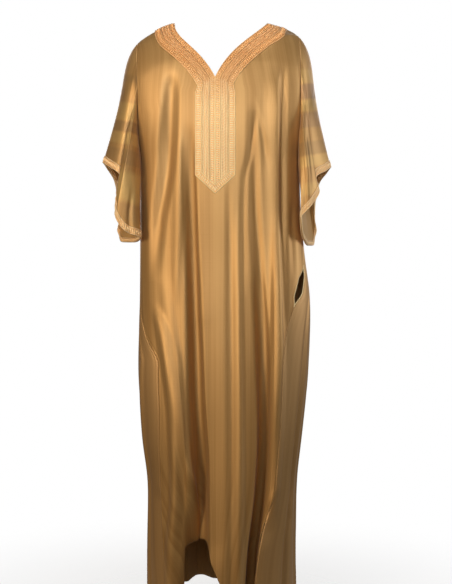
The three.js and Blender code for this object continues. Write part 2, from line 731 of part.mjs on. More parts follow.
const onFront = (x, z) => onBody(angleAt(x, z, "front"), z);
// Height of the plastron's pointed end at a distance from the centre line, and of the outer braid's
// inner edge there.
const slopeDrop = (PLASTRON.corner - PLASTRON.tip) / PLASTRON.half;
const pointHeight = (off) => PLASTRON.tip + slopeDrop * off;
const innerPointHeight = (off) => pointHeight(off) + BRAID.outer * Math.hypot(1, slopeDrop);

function neckBraid(first, finish) {
  const strip = neckStations().map((station) => [station[first], station[first + 1]]);
  const ends = [finish(-1), finish(1)];
  return [...ends[0], ...strip.slice(1, -1), ...[...ends[1]].reverse()];
}
const atLine = (side, line, height) => onFront(NOTCH.x + side * BRAID_LINES[line], height(BRAID_LINES[line]));
const braidRows = {
  neck_braid_inner: neckBraid(0, (side) => [[0, 1].map((line) => atLine(side, line, innerPointHeight))]),
  neck_braid_middle: neckBraid(1, (side) => [[1, 2].map((line) => atLine(side, line, innerPointHeight))]),
  neck_braid_outer: neckBraid(2, (side) =>
    [0, 0.25, 0.5, 0.75, 1].map((share) => {
      const [inner, outer] = [BRAID_LINES[2] * share, PLASTRON.half * share];
      return [
        onFront(NOTCH.x + side * inner, innerPointHeight(inner)),
        onFront(NOTCH.x + side * outer, pointHeight(outer)),
      ];
    }),
  ),
};

// ---------- the garment ----------
const satin = (color) => new THREE.MeshStandardMaterial({ color, roughness: 0.38, metalness: 0.15 });
const thread = (color) => new THREE.MeshStandardMaterial({ color, roughness: 0.6, metalness: 0.05 });
const cloth = { front: CLOTH_COLOUR, back: CLOTH_COLOUR, gore: GORE_COLOUR, sleeve: SLEEVE_COLOUR };

const djellaba = new THREE.Group();
djellaba.name = "djellaba";
for (const [name, sheet] of Object.entries(sheets))
  djellaba.add(wall(name, sheet, -WALL / 2, WALL / 2, satin(cloth[name.split("_")[0]])));

// Direction out of the cloth, also at points of the plastron that are not corners of the panel.
function nearDirection(point) {
  if (outward.has(keyOf(point))) return outwardAt(point);
  const across = onFront(point.x + 1, point.z).sub(onFront(point.x - 1, point.z));
  const up = onFront(point.x, point.z + 1).sub(onFront(point.x, point.z - 1));
  return across.cross(up).normalize();
}
const trimLow = WALL / 2 + SEAM_GAP;
for (const [name, rows] of Object.entries(braidRows)) {
  const colour = name === "neck_braid_middle" ? PLAIN_BRAID_COLOUR : BRAID_COLOUR;
  const sheet = new Sheet().grid(rows);
  djellaba.add(wall(name, sheet, trimLow, trimLow + BRAID.thick, thread(colour), nearDirection));
}
for (const side of ["left", "right"]) {
  const sheet = new Sheet().grid(sleeves[side].slice(-2), true);
  const name = "cuff_braid_" + side;
  djellaba.add(wall(name, sheet, trimLow, trimLow + CUFF_BRAID.thick, thread(BRAID_COLOUR)));
}

// Bound edges of the pocket slit: a narrow strip on the front panel and one on the gore.
function edgeStrip(rows, edge, next) {
  return rows.map((row) => {
    const inside = row[next].clone().sub(row[edge]).setLength(POCKET_EDGE.wide);
    return [row[edge], row[edge].clone().add(inside)];
  });
}
const pocketRows = (rows, first) => rows.slice(POCKET_ROWS.top - first, POCKET_ROWS.bottom - first + 1);
const pocketEdges = {
  pocket_edge_front: edgeStrip(pocketRows(halves.frontright, 0), COLUMNS, COLUMNS - 1),
  pocket_edge_gore: edgeStrip(pocketRows(goreRows("right"), UNDERARM_ROW), 0, 1),
};
for (const [name, rows] of Object.entries(pocketEdges)) {
  const sheet = new Sheet().grid(name === "pocket_edge_front" ? turned(rows) : rows);
  const edge = new Map(rows.flatMap(([at, inside]) => [[keyOf(at), at], [keyOf(inside), at]]));
  const direction = (point) => outwardAt(edge.get(keyOf(point)));
  const low = trimLow + POCKET_EDGE.lift;
  djellaba.add(wall(name, sheet, low, low + POCKET_EDGE.thick, thread(BRAID_COLOUR), direction));
}

export default djellaba;
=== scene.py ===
# %% [markdown]
# # A satin djellaba with a braided plastron
# The garment is a loose, collarless robe of gold satin: a front and a back that widen to the hem,
# two gores let in at the sides, short wide sleeves, and thick braids sewn round the neck and the
# cuffs. It hangs as if worn, so it is made as it would be sewn: flat panels first, then the relief
# of their folds, then the trimmings and the stitches that hold everything together.

import math
from functools import partial

import bpy
import numpy as np
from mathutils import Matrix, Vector


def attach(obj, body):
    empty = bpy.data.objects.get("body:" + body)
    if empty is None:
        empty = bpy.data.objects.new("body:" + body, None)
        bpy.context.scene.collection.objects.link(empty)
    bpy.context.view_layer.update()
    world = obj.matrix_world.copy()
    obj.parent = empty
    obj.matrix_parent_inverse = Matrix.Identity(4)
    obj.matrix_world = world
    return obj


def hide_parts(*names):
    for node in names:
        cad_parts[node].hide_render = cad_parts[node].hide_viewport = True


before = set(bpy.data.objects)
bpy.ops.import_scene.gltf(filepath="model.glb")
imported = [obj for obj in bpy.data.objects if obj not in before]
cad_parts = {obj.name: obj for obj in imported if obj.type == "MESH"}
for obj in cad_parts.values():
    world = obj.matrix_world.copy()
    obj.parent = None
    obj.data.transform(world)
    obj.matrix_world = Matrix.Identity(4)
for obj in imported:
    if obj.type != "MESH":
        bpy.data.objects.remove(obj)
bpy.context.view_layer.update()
MM = 0.001  # the cutting tables are in millimetres, Blender is in metres
SIDES = {"left": -1, "right": 1}  # each side of the robe, and the sign of its x
FACES = ("front", "back")
print("frame nodes:", len(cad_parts))

# %% [markdown]
# ## Camera
# The robe is seen straight from the front, from the height of the belly. A long lens keeps the
# sides upright, and a small lens shift frames the robe without tilting the camera.

# %% Camera
camera = bpy.data.objects.new("camera", bpy.data.cameras.new("camera"))
camera.data.lens = 76.4
camera.data.shift_x = 0.0171
camera.data.shift_y = -0.0753
camera.location = (0, -3.1, -0.56)
camera.rotation_euler = (math.radians(90), 0, 0)
bpy.context.scene.collection.objects.link(camera)
bpy.context.scene.camera = camera
print("camera lens:", round(camera.data.lens, 1), "mm")

# %% [markdown]
# ## Cutting tables
# A pattern cutter notes a few measures and joins them with smooth curves. Splines would do it, but
# they swing past their points. `Table` holds rows of named columns and reads them on a curve that
# never overshoots its rows, so a hollow is never deeper than the table says.

# %% Tables on smooth curves
class Table:
    """Rows of named columns. The first column says where the others are read."""

    def __init__(self, names, *rows):
        self.names = names.split()
        values = np.array(rows, float)
        if values[0, 0] > values[-1, 0]:
            values = values[::-1]
        self.at = values[:, 0]
        self.columns = dict(zip(self.names, values.T))
        self.slopes = {name: self.slope(self.columns[name]) for name in self.names}

    def slope(self, column):
        """Slope at each row: 0 at tops and bottoms, and else the harmonic mean of its sides."""
        steps = np.diff(column) / np.diff(self.at)
        before, after = steps[:-1], steps[1:]
        same = before * after > 0
        total = np.where(same, before + after, 1)
        inner = np.where(same, 2 * before * after / total, 0)
        return np.concatenate([steps[:1], inner, steps[-1:]])

    def read(self, name, place):
        """A column's value at a place, or at each of many places."""
        place = np.clip(place, self.at[0], self.at[-1])
        row = np.clip(np.searchsorted(self.at, place, side="right") - 1, 0, len(self.at) - 2)
        span = self.at[row + 1] - self.at[row]
        t = (place - self.at[row]) / span
        a, b = self.columns[name][row], self.columns[name][row + 1]
        rise, fall = self.slopes[name][row] * span, self.slopes[name][row + 1] * span
        return (
            a * (1 + 2 * t) * (1 - t) ** 2
            + rise * t * (1 - t) ** 2
            + b * t * t * (3 - 2 * t)
            - fall * t * t * (1 - t)
        )

# %% Settled tables, rings and soft steps
def settled(table, reach, step=10):
    """The same table with its bends spread over a reach, as cloth bridges a form."""
    offsets = np.linspace(-2, 2, 17) * reach
    bell = np.exp(-((offsets / reach) ** 2) / 2)
    bell /= bell.sum()
    places = np.arange(table.at[0], table.at[-1] + step, step)
    columns = [table.read(name, places[:, None] + offsets) @ bell for name in table.names[1:]]
    return Table(" ".join(table.names), *zip(places, *columns))


def folds_of(names, **folds):
    """One table for each named fold, from its rows."""
    return [Table(names, *rows) for rows in folds.values()]


def closed(names, *rows):
    """A table that runs once round a sleeve, from 0 to 1, and joins its own start."""
    before = [(row[0] - 1, *row[1:]) for row in rows[-2:]]
    after = [(row[0] + 1, *row[1:]) for row in rows[:2]]
    return Table(names, *before, *rows, *after)


def ease(low, high, value):
    """0 below low, 1 above high, and a soft step between them."""
    t = np.clip((value - low) / (high - low), 0, 1)
    return t * t * (3 - 2 * t)


def mix(a, b, share):
    return a + (b - a) * share


# %% [markdown]
# ## Form of the robe
# A worn robe is a soft tube that hangs from the shoulders and is squarer than an ellipse. It could
# be draped by a cloth simulation, but then each seam would have to be found again on the result.
# So every height has a section, with its half widths, its depths and how square it is, and the
# large folds are hollows and ridges that run down it. `on_body` turns an angle and a height into a
# point of the cloth.

# %% Shoulders and sections
# The line of the shoulders, and then how far each section reaches from the middle.
SHOULDER = Table(
    "x z",
    (-222, -84), (-212, -66), (-197, -49), (-172, -30), (-150, -17), (-128, -6), (-103, 0),
    (129, 0), (150, -4), (172, -11), (190, -19), (208, -32), (222, -50),
)
SHOULDER_Y = 6
SHOULDER_ROUND = {"front": 112, "back": 96}  # the cloth rounds over the shoulders in this height
SECTIONS = settled(Table(
    "z left right front back square",
    (0, 228, 238, 84, 76, 2.3),
    (-60, 231, 242, 98, 90, 2.3),
    (-150, 233, 246, 108, 99, 2.3),
    (-230, 222, 236, 112, 101, 2.3),
    (-290, 204, 219, 112, 100, 2.3),
    (-330, 192, 208, 110, 98, 2.3),
    (-420, 189, 209, 107, 92, 2.3),
    (-560, 189, 219, 104, 93, 2.3),
    (-700, 190, 235, 109, 109, 2.3),
    (-850, 194, 228, 118, 118, 2.3),
    (-1030, 180, 209, 126, 121, 2.4),
    (-1150, 163, 196, 132, 124, 2.4),
    (-1310, 165, 192, 138, 130, 2.4),
    (-1460, 166, 193, 142, 136, 2.4),
), reach=26)
print("heights of the settled sections:", len(SECTIONS.at))

# %% Large folds
# Folds that the robe's solid form already has: centre, half width and rise at some heights.
WIDE_FOLD = "z x half rise"
FRONT_FOLDS = folds_of(
    WIDE_FOLD,
    left_chest_hollow=[
        (-110, -108, 24, 0), (-208, -112, 28, -11), (-350, -120, 30, -14), (-490, -140, 26, -10),
        (-640, -150, 22, 0),
    ],
    left_hollow=[
        (-225, -74, 16, 0), (-450, -66, 20, -8), (-700, -54, 24, -16), (-900, -50, 24, -23),
        (-1100, -42, 25, -33), (-1280, -50, 34, -46), (-1430, -55, 40, -58),
    ],
    left_ridge=[
        (-680, -150, 18, 0), (-790, -124, 24, 10), (-990, -98, 24, 14), (-1150, -94, 24, 16),
        (-1300, -104, 26, 14), (-1430, -108, 28, 12),
    ],
    centre_ridge=[(-600, 24, 56, 0), (-990, 30, 58, 2), (-1200, 30, 58, 5), (-1430, 24, 56, 12)],
    right_hollow=[
        (-600, 98, 18, 0), (-800, 112, 22, -14), (-990, 119, 24, -25), (-1150, 113, 26, -29),
        (-1290, 99, 24, -30), (-1430, 88, 24, -34),
    ],
    right_ridge=[
        (-440, 146, 20, 0), (-700, 150, 24, 10), (-990, 148, 22, 12), (-1200, 138, 20, 10),
        (-1430, 130, 18, 6),
    ],
)
BACK_FOLDS = folds_of(
    WIDE_FOLD,
    left_hollow=[
        (-240, -100, 22, 0), (-600, -96, 26, -12), (-1000, -92, 28, -22), (-1450, -84, 32, -32),
    ],
    centre_hollow=[(-420, 6, 22, 0), (-760, 2, 28, -12), (-1100, -4, 30, -22), (-1450, 0, 36, -30)],
    right_hollow=[(-200, 118, 22, 0), (-500, 112, 26, -14), (-900, 106, 28, -18), (-1450, 96, 32, -34)],
    left_ridge=[(-500, -48, 24, 0), (-900, -46, 26, 8), (-1450, -40, 30, 14)],
    right_ridge=[(-560, 58, 24, 0), (-1000, 54, 26, 9), (-1450, 48, 30, 14)],
)
FOLDS_FADE = 0.9  # the share of the half width at which the folds begin to fade
FOLD_START = 60.0  # a fold sinks or rises gently over this length below its top
print("folds in the form:", len(FRONT_FOLDS), "in front and", len(BACK_FOLDS), "behind")

# %% Sections and folds at a height
def section_at(z):
    """The section's middle, half width, depths and squareness at a height."""
    left, right = SECTIONS.read("left", z), SECTIONS.read("right", z)
    return {
        "middle": (right - left) / 2,
        "half": (right + left) / 2,
        "front": SECTIONS.read("front", z),
        "back": SECTIONS.read("back", z),
        "square": SECTIONS.read("square", z),
    }


def fold_rise(folds, x, z):
    """How far all the folds together lift the cloth at a place."""
    rise = 0 * x
    for fold in folds:
        off = (x - fold.read("x", z)) / fold.read("half", z)
        start = ease(0, FOLD_START, fold.at[-1] - z)
        rise += start * fold.read("rise", z) * np.cos(np.clip(off, -1, 1) * np.pi / 2) ** 2
    return rise


print("width at the chest:", round(float(2 * section_at(-230)["half"])), "mm")

# %% Points of the robe's form
def on_body(angle, z, folded=1.0):
    """Points of the cloth round the body. The angle is 0 at the right side, -90 degrees in front."""
    section = section_at(z)
    across, deep = np.cos(angle), np.sin(angle)
    front = deep < 0
    depth = np.where(front, section["front"], section["back"])
    power = 2 / section["square"]
    share = np.sign(across) * abs(across) ** power
    x = section["middle"] + section["half"] * share
    y = depth * np.sign(deep) * abs(deep) ** power
    facing_x = np.sign(across) * abs(across) ** (2 - power) / section["half"]
    facing_y = np.sign(deep) * abs(deep) ** (2 - power) / depth
    long = np.hypot(facing_x, facing_y)
    below = np.maximum(0, SHOULDER.read("z", x) - z)
    rise = np.where(front, fold_rise(FRONT_FOLDS, x, z), fold_rise(BACK_FOLDS, x, z))
    rise = rise * (1 - ease(FOLDS_FADE, 1, abs(share))) * folded
    x = x + rise * facing_x / long
    y = y + rise * facing_y / long
    round_over = np.where(front, SHOULDER_ROUND["front"], SHOULDER_ROUND["back"])
    over = np.sqrt(1 - (1 - np.minimum(1, below / round_over)) ** 2)
    return np.stack([x, SHOULDER_Y + (y - SHOULDER_Y) * over, z + 0 * x], axis=-1)


def angle_at(x, z, face):
    """The angle at which the section at height z reaches x, on the front or the back."""
    section = section_at(z)
    share = np.clip((x - section["middle"]) / section["half"], -1, 1)
    across = np.sign(share) * abs(share) ** (section["square"] / 2)
    return (-1 if face == "front" else 1) * np.arccos(across)


# %% [markdown]
# ## Seams
# A gore is let in between the front and the back from the underarm down, so two seams run down
# each side. They could be drawn on the finished form, but a seam that is noted as an angle round
# the robe gives the panel and the gore the very same points. Where the pocket and the slits open,
# the panel's edge and the gore's edge part from the line of the seam by a few degrees.

# %% Seams of the gores
SLIT_TOP = -1140
SEAMS = {
    "left": Table(
        "z front panel gore back",
        (-330, 4, 0, 0, 4), (-690, 9, 0, 0, 12), (-770, 25, 0, 0, 22), (-845, 44, 0, 0, 32),
        (-940, 44, 0, 0, 38), (-1070, 39, 0, 0, 40), (SLIT_TOP, 35.5, 0, 0, 42),
        (-1285, 37, 2, 4, 44), (-1430, 43, 4, 6, 44),
    ),
    "right": Table(
        "z front panel gore back",
        (-330, 4, 0, 0, 4), (-520, 8, 0, 0, 9), (-602, 17, 0, 0, 14), (-636, 26, 5, -6, 17),
        (-670, 33, 5, -6, 21), (-704, 40, 0, 0, 25), (-770, 48, 0, 0, 31), (-850, 50, 0, 0, 36),
        (SLIT_TOP, 51.5, 0, 0, 43), (-1215, 56, 1, 1.5, 44), (-1285, 61.5, 0, 2.5, 44),
        (-1430, 67, -2.5, 3.5, 44),
    ),
}


def seam_angle(side, z, edge):
    """Angle of a seam: its front line, the panel's or the gore's edge beside it, or the back."""
    seams = SEAMS[side]
    if edge == "back":
        turn = np.radians(seams.read("back", z))
        return np.pi - turn if side == "left" else turn
    parted = "panel" if edge == "front" else "gore"
    turn = np.radians(seams.read("front", z) + seams.read(parted, z))
    return turn - np.pi if side == "left" else -turn


def seam_x(side, z, edge):
    """x of a seam at a height."""
    section = section_at(z)
    across = np.cos(seam_angle(side, z, edge))
    share = np.sign(across) * abs(across) ** (2 / section["square"])
    return section["middle"] + section["half"] * share


for side in SIDES:
    print(side, "seam meets the slit at x =", round(float(seam_x(side, SLIT_TOP, "front"))), "mm")


# %% [markdown]
# ## Rows and columns of the cloth
# Each half of a panel is one grid. Its rows run round the neck opening first and lie level below
# it, and its columns start at the neck or at the centre and run out to the side. A grid laid square
# over the whole panel would be simpler, but it would cut across the neck in steps. Here the lines
# of the braids are columns of the same grid, so that the braids and the cloth share one path.

# %% Neck, rows and hem
BRAID = {"inner": 13, "middle": 19, "outer": 16.5}  # widths of the three braids
BRAID_LINES = np.cumsum([0, *BRAID.values()])
PLASTRON = {"half": BRAID_LINES[-1], "corner": -384, "tip": -429}
# Each half of the neck opening is one curve from the shoulder to the centre, by four points.
NECK = {
    ("front", "left"): [(-103, 0), (-103, 54), (-44, 66), (-2, 146)],
    ("front", "right"): [(129, 0), (106, 34), (30, 73), (-2, 146)],
    ("back", "left"): [(-103, 0), (-104, 74), (-48, 122), (13, 122)],
    ("back", "right"): [(129, 0), (130, 74), (74, 122), (13, 122)],
}
# Rows beside the neck opening, then the rows under it. From row 16 down, the rows are level.
NECK_ROWS = Table(
    "row along below",
    (0, 0, 0), (1, 0.06, 5), (2, 0.14, 16), (3, 0.25, 34), (4, 0.4, 58), (5, 0.58, 88),
    (6, 0.78, 124), (7, 1, 160),
)
LEVEL_ROWS = (
    -540, -602, -636, -670, -704, -770, -840, -915, -995, -1070, SLIT_TOP, -1215, -1285, -1355, -1425,
)
LOWER_ROWS = Table(
    "row front back side",
    (8, -184, -188, -240), (9, -224, -226, -268), (10, -264, -264, -292),
    (11, -304, -304, -313), (12, -344, -344, -330), (13, -384, -378, -368),
    (14, -429, -424, -418), (15, -480, -480, -478),
    *((row, z, z, z) for row, z in enumerate(LEVEL_ROWS, 16)),
)
NOTCH_ROW, UNDERARM_ROW, SLIT_ROW, HEM_ROW = 7, 12, 26, 30
FRONT_HEM = Table(
    "x z",
    (-150, -1414), (-104, -1424), (-82, -1408), (-76, -1280), (-58, -1270), (-38, -1266),
    (-12, -1318), (14, -1372), (36, -1412), (62, -1430), (100, -1434), (140, -1424),
)
SIDE_HEM, BACK_HEM, HEM_STARTS, HEM_LEVEL = -1430, -1414, -1000, -1425
ARMHOLE_X = {"left": (-197, -190), "right": (208, 206)}
ARMHOLE_TOP, ARMHOLE_BOTTOM = -49, -330
print("rows of a panel:", HEM_ROW, "from the neck to the hem, the braids", BRAID_LINES[-1], "mm wide")

# %% Edge of the neck, heights of the rows and seam of the armhole
def neck_edge(face, side, along):
    """Point of the neck edge, and the direction away from the opening, in x and depth."""
    points = np.array(NECK[face, side], float)
    t = np.asarray(along, float)[..., None]
    curve = (
        points[0] * (1 - t) ** 3
        + 3 * points[1] * t * (1 - t) ** 2
        + 3 * points[2] * t * t * (1 - t)
        + points[3] * t**3
    )
    tangent = (
        (points[1] - points[0]) * (1 - t) ** 2
        + 2 * (points[2] - points[1]) * t * (1 - t)
        + (points[3] - points[2]) * t * t
    )
    tangent = np.where(t == 0, np.array([0.0, 1.0]), tangent)
    tangent /= np.linalg.norm(tangent, axis=-1, keepdims=True)
    sign = SIDES[side]
    away = np.stack([sign * tangent[..., 1], -sign * tangent[..., 0]], axis=-1)
    return curve, away


def lower_height(face, level, side_level, x, share):
    """Height of a lower row: level from the centre to the side, then drawn to the hem line."""
    height = mix(level, side_level, ease(0, 1, share))
    if face == "front":
        hem = FRONT_HEM.read("z", x)
    else:
        hem = mix(BACK_HEM, SIDE_HEM, share**4)
    return height + (hem - HEM_LEVEL) * ease(HEM_STARTS, HEM_LEVEL, height)


def armhole_at(side, z):
    """x of the armhole's seam at a height."""
    top, bottom = ARMHOLE_X[side]
    return mix(top, bottom, np.clip((z - ARMHOLE_TOP) / (ARMHOLE_BOTTOM - ARMHOLE_TOP), 0, 1))


for face, side in NECK:
    edge, _ = neck_edge(face, side, np.linspace(0, 1, 50))
    run = np.linalg.norm(np.diff(edge, axis=0), axis=1).sum()
    print("neck edge,", face, side, round(float(run)), "mm seen from above")

# %% Places along a row
def row_places(face, side, row, lines, shares):
    """x, z and share of the half width of one row, along the braid's lines and then to the side."""
    sign = SIDES[side]
    if NOTCH_ROW < row < NOTCH_ROW + 1:
        above = row_places(face, side, NOTCH_ROW, lines, shares)
        under = row_places(face, side, NOTCH_ROW + 1, lines, shares)
        count = under[0].size
        return [mix(a[-count:], b, row - NOTCH_ROW) for a, b in zip(above, under)]
    if row <= NOTCH_ROW:
        along, below = NECK_ROWS.read("along", row), NECK_ROWS.read("below", row)
        point, away = neck_edge(face, side, along)
        line_x = point[0] + away[0] * lines
        line_z = SHOULDER.read("z", line_x) - point[1] - away[1] * lines
        last_x, last_depth = point + away * PLASTRON["half"]
        edge_x = armhole_at(side, SHOULDER.read("z", ARMHOLE_X[side][0]) - below)
        side_x = mix(last_x, edge_x, shares)
        side_z = SHOULDER.read("z", side_x) - mix(last_depth, below, shares)
        share = np.concatenate([0 * lines, shares])
        return [np.concatenate([line_x, side_x]), np.concatenate([line_z, side_z]), share]
    level, side_level = LOWER_ROWS.read(face, row), LOWER_ROWS.read("side", row)
    centre = NECK[face, side][-1][0]
    start = sign * PLASTRON["half"] if face == "front" else 0
    under_arm = row >= UNDERARM_ROW
    edge_x = seam_x(side, side_level, face) if under_arm else armhole_at(side, side_level)
    x, share = mix(centre + start, edge_x, shares), shares
    if face == "front":
        x = np.concatenate([centre + sign * lines, x])
        share = np.concatenate([0 * lines, shares])
    return [x, lower_height(face, level, side_level, x, share), share]


def half_rows(face, side, rows, lines, shares):
    """Points of several rows of one half, each from the neck or the centre out to the side."""
    places = [row_places(face, side, row, lines, shares) for row in rows]
    count = min(place[0].size for place in places)
    x, z = (np.array([place[k][-count:] for place in places]) for k in (0, 1))
    angle = angle_at(x, z, face)
    under_arm = np.array(rows) >= UNDERARM_ROW
    angle[under_arm, -1] = seam_angle(side, z[under_arm, -1], face)
    return on_body(angle, z)


# %% [markdown]
# ## From grids to cloth
# Real cloth is a thin sheet, so each panel begins as a grid of points in its middle. `Sheet` joins
# the grids of one panel and raises its folds along the sheet's own normals. `shell` then gives it
# a right side, a wrong side and a turned edge between them. A Solidify modifier would do that too,
# but here a mark on each point can tell the finish which side it is.

# %% Sheets
def lengths(points, axis):
    """Running length along a grid's rows or columns, starting at 0."""
    step = np.linalg.norm(np.diff(points, axis=axis), axis=-1)
    shape = list(step.shape)
    shape[axis] = 1
    return np.concatenate([np.zeros(shape), np.cumsum(step, axis=axis)], axis=axis)


SAME_POINT = 0.02  # points closer than about this are one


class Sheet:
    """Four-cornered cells of cloth, in millimetres, wound so that they face out."""

    def __init__(self):
        self.points, self.uvs, self.rises, self.cells = [], [], [], []
        self.count = 0

    def grid(self, points, uv, rise=0.0, flip=False):
        """Add a grid of points, with its places on the cloth and how far each point is raised."""
        rows, columns = points.shape[:2]
        number = self.count + np.arange(rows * columns).reshape(rows, columns)
        corners = [number[:-1, :-1], number[1:, :-1], number[1:, 1:], number[:-1, 1:]]
        cells = np.stack(corners[::-1] if flip else corners, axis=-1).reshape(-1, 4)
        self.points.append(points.reshape(-1, 3))
        self.uvs.append(np.broadcast_to(uv, (rows, columns, 2)).reshape(-1, 2))
        self.rises.append(np.broadcast_to(rise, (rows, columns)).ravel())
        self.cells.append(cells)
        self.count += rows * columns
        return self

    def joined(self):
        """Shared points, their rise, the cells on them, and the cells on the unshared corners."""
        points, cells = np.concatenate(self.points), np.concatenate(self.cells)
        rounded = np.round(points / SAME_POINT).astype(np.int64)
        _, first, shared = np.unique(rounded, axis=0, return_index=True, return_inverse=True)
        shared = shared.ravel()
        merged = shared[cells]
        whole = np.array([len(set(cell)) == 4 for cell in merged.tolist()])
        return points[first], np.concatenate(self.rises)[first], merged[whole], cells[whole]


# %% Directions and rims
def normals_of(points, cells):
    """The direction out of the cloth at each point."""
    corner = points[cells]
    face = np.cross(corner[:, 2] - corner[:, 0], corner[:, 3] - corner[:, 1])
    total = np.zeros_like(points)
    for k in range(4):
        np.add.at(total, cells[:, k], face)
    return total / np.maximum(np.linalg.norm(total, axis=1, keepdims=True), 1e-12)


def rim_of(cells):
    """Edges that only one cell has, in that cell's direction."""
    edges = np.concatenate([cells[:, [k, (k + 1) % 4]] for k in range(4)])
    key = np.sort(edges, axis=1)
    _, first, count = np.unique(key, axis=0, return_index=True, return_counts=True)
    return edges[first[count == 1]]


# %% Pieces and shells
def make_piece(name, points, cells, uvs, inside, material):
    """A mesh piece in metres from points, cells, the corners' map places and the side marks."""
    mesh = bpy.data.meshes.new(name)
    mesh.from_pydata((points * MM).tolist(), [], cells.tolist())
    layer = mesh.uv_layers.new(name="cloth")
    layer.data.foreach_set("uv", np.ascontiguousarray(uvs, dtype=np.float32).ravel())
    mark = mesh.attributes.new("inside", "FLOAT", "POINT")
    mark.data.foreach_set("value", inside.astype(np.float32))
    mesh.shade_smooth()
    mesh.materials.append(material)
    piece = bpy.data.objects.new(name, mesh)
    bpy.context.scene.collection.objects.link(piece)
    print(f"{name}: {len(cells)} cells")
    return piece


CLOTH_HALF = 0.4  # half the thickness of the cloth


def shell(name, sheet, material, low=-CLOTH_HALF, high=CLOTH_HALF):
    """A closed shell on a sheet, from low to high above its middle."""
    points, rise, cells, corners = sheet.joined()
    points = points + normals_of(points, cells) * rise[:, None]
    out = normals_of(points, cells)
    uv = np.concatenate(sheet.uvs)
    count = len(points)
    rim = rim_of(cells)
    rim_cells = np.stack([rim[:, 1], rim[:, 0], rim[:, 0] + count, rim[:, 1] + count], axis=-1)
    place = np.zeros((count, 2))
    place[cells.ravel()] = uv[corners.ravel()]
    edge_uv = place[np.stack([rim[:, 1], rim[:, 0], rim[:, 0], rim[:, 1]], axis=-1)]
    return make_piece(
        name,
        np.concatenate([points + out * high, points + out * low]),
        np.concatenate([cells, cells[:, ::-1] + count, rim_cells]),
        np.concatenate([uv[corners], uv[corners[:, ::-1]], edge_uv]).reshape(-1, 2),
        np.concatenate([np.zeros(count), np.ones(count)]),
        material,
    )

# %% [markdown]
# ## Finishes as sums of a few patterns
# A finish is written like arithmetic. `Wire` stands for one socket of a material's nodes, and
# adding or multiplying wires adds the Math nodes. `Finish` makes any other node from its type, its
# settings and the values or wires of its sockets.

# %% Wires
class Wire:
    """A socket of a material. Sums and products of wires become Math nodes."""

    def __init__(self, finish, socket):
        self.finish, self.socket = finish, socket

    def math(self, operation, *values):
        sockets = dict(enumerate((self, *values)))
        return self.finish.node("ShaderNodeMath", {"operation": operation}, sockets)

    def __add__(self, other):
        return self.math("ADD", other)

    def __radd__(self, other):
        return self.math("ADD", other)

    def __sub__(self, other):
        return self.math("SUBTRACT", other)

    def __rsub__(self, other):
        return (self * -1).math("ADD", other)

    def __mul__(self, other):
        return self.math("MULTIPLY", other)

    def __rmul__(self, other):
        return self.math("MULTIPLY", other)

    def between(self, low, high, soft):
        """1 between two places and 0 outside them, with soft edges."""
        rise = self.finish.smooth(self, low - soft, low + soft)
        return rise * (1 - self.finish.smooth(self, high - soft, high + soft))


# %% Finishes
class Finish:
    """One material: its nodes, and the Principled shader they feed."""

    def __init__(self, name, **constants):
        self.material = bpy.data.materials.new(name)
        self.material.use_nodes = True
        self.tree = self.material.node_tree
        self.shader = self.tree.nodes["Principled BSDF"]
        for key, value in constants.items():
            self.shader.inputs[key.replace("_", " ")].default_value = value

    def node(self, kind, settings=None, sockets=None, output=0):
        """Any node: its settings are set first, then the values or wires of its sockets."""
        node = self.tree.nodes.new(kind)
        for key, value in (settings or {}).items():
            setattr(node, key, value)
        for key, value in (sockets or {}).items():
            self.put(node.inputs[key], value)
        return Wire(self, node.outputs[output])

    def put(self, socket, value):
        """A wire is linked to the socket, and a value is set in it."""
        if isinstance(value, Wire):
            self.tree.links.new(value.socket, socket)
        else:
            socket.default_value = value

    def smooth(self, value, low, high):
        """0 below low, 1 above high, and a soft step between them."""
        sockets = {"Value": value, "From Min": low, "From Max": high}
        return self.node("ShaderNodeMapRange", {"interpolation_type": "SMOOTHSTEP"}, sockets)

    def part(self, vector, axis):
        return self.node("ShaderNodeSeparateXYZ", None, {0: vector}, output="XYZ".index(axis))

    def noise(self, vector, scale=1.0, detail=2.0, roughness=0.5):
        sockets = {"Vector": vector, "Scale": scale, "Detail": detail, "Roughness": roughness}
        return self.node("ShaderNodeTexNoise", None, sockets)

    def mix(self, share, first, second):
        """One colour or the other by share. Plain colours are written as three numbers."""
        first, second = ((*c, 1) if isinstance(c, tuple) else c for c in (first, second))
        sockets = {"Factor": share, 6: first, 7: second}
        return self.node("ShaderNodeMix", {"data_type": "RGBA"}, sockets, output=2)

    def bump(self, height, distance, strength=1.0, under=None):
        sockets = {"Height": height, "Distance": distance, "Strength": strength}
        if under is not None:
            sockets["Normal"] = under
        return self.node("ShaderNodeBump", None, sockets)

    def feed(self, **values):
        """The material, once these wires or values feed its shader."""
        for key, value in values.items():
            self.put(self.shader.inputs[key.replace("_", " ")], value)
        return self.material


# %% [markdown]
# ## Satin
# Satin floats its warp threads over the weft, so it shines along smooth soft bands and goes dark
# where it turns away. Its wrong side is dull. The warp is never dyed quite evenly: faint streaks
# run along the cloth. A painted pattern would repeat, so the streaks and the threads are noise
# that is stretched along the cloth's own map. The sleeves are cut from the woven border, where
# wide lighter and darker bars cross the cloth.

# %% Satin finish
# Each pattern of the satin, by how often it changes in a metre across the cloth and up it.
WIDE_STREAKS, STREAKS, FINE_STREAKS, SLUBS = (26, 0.7), (85, 0.9), (380, 3), (12, 700)
THREADS, WEFT, SOFT_DENTS, BAR_WAVES = (2600, 60), (60, 2600), (19, 1.3), (9, 2)


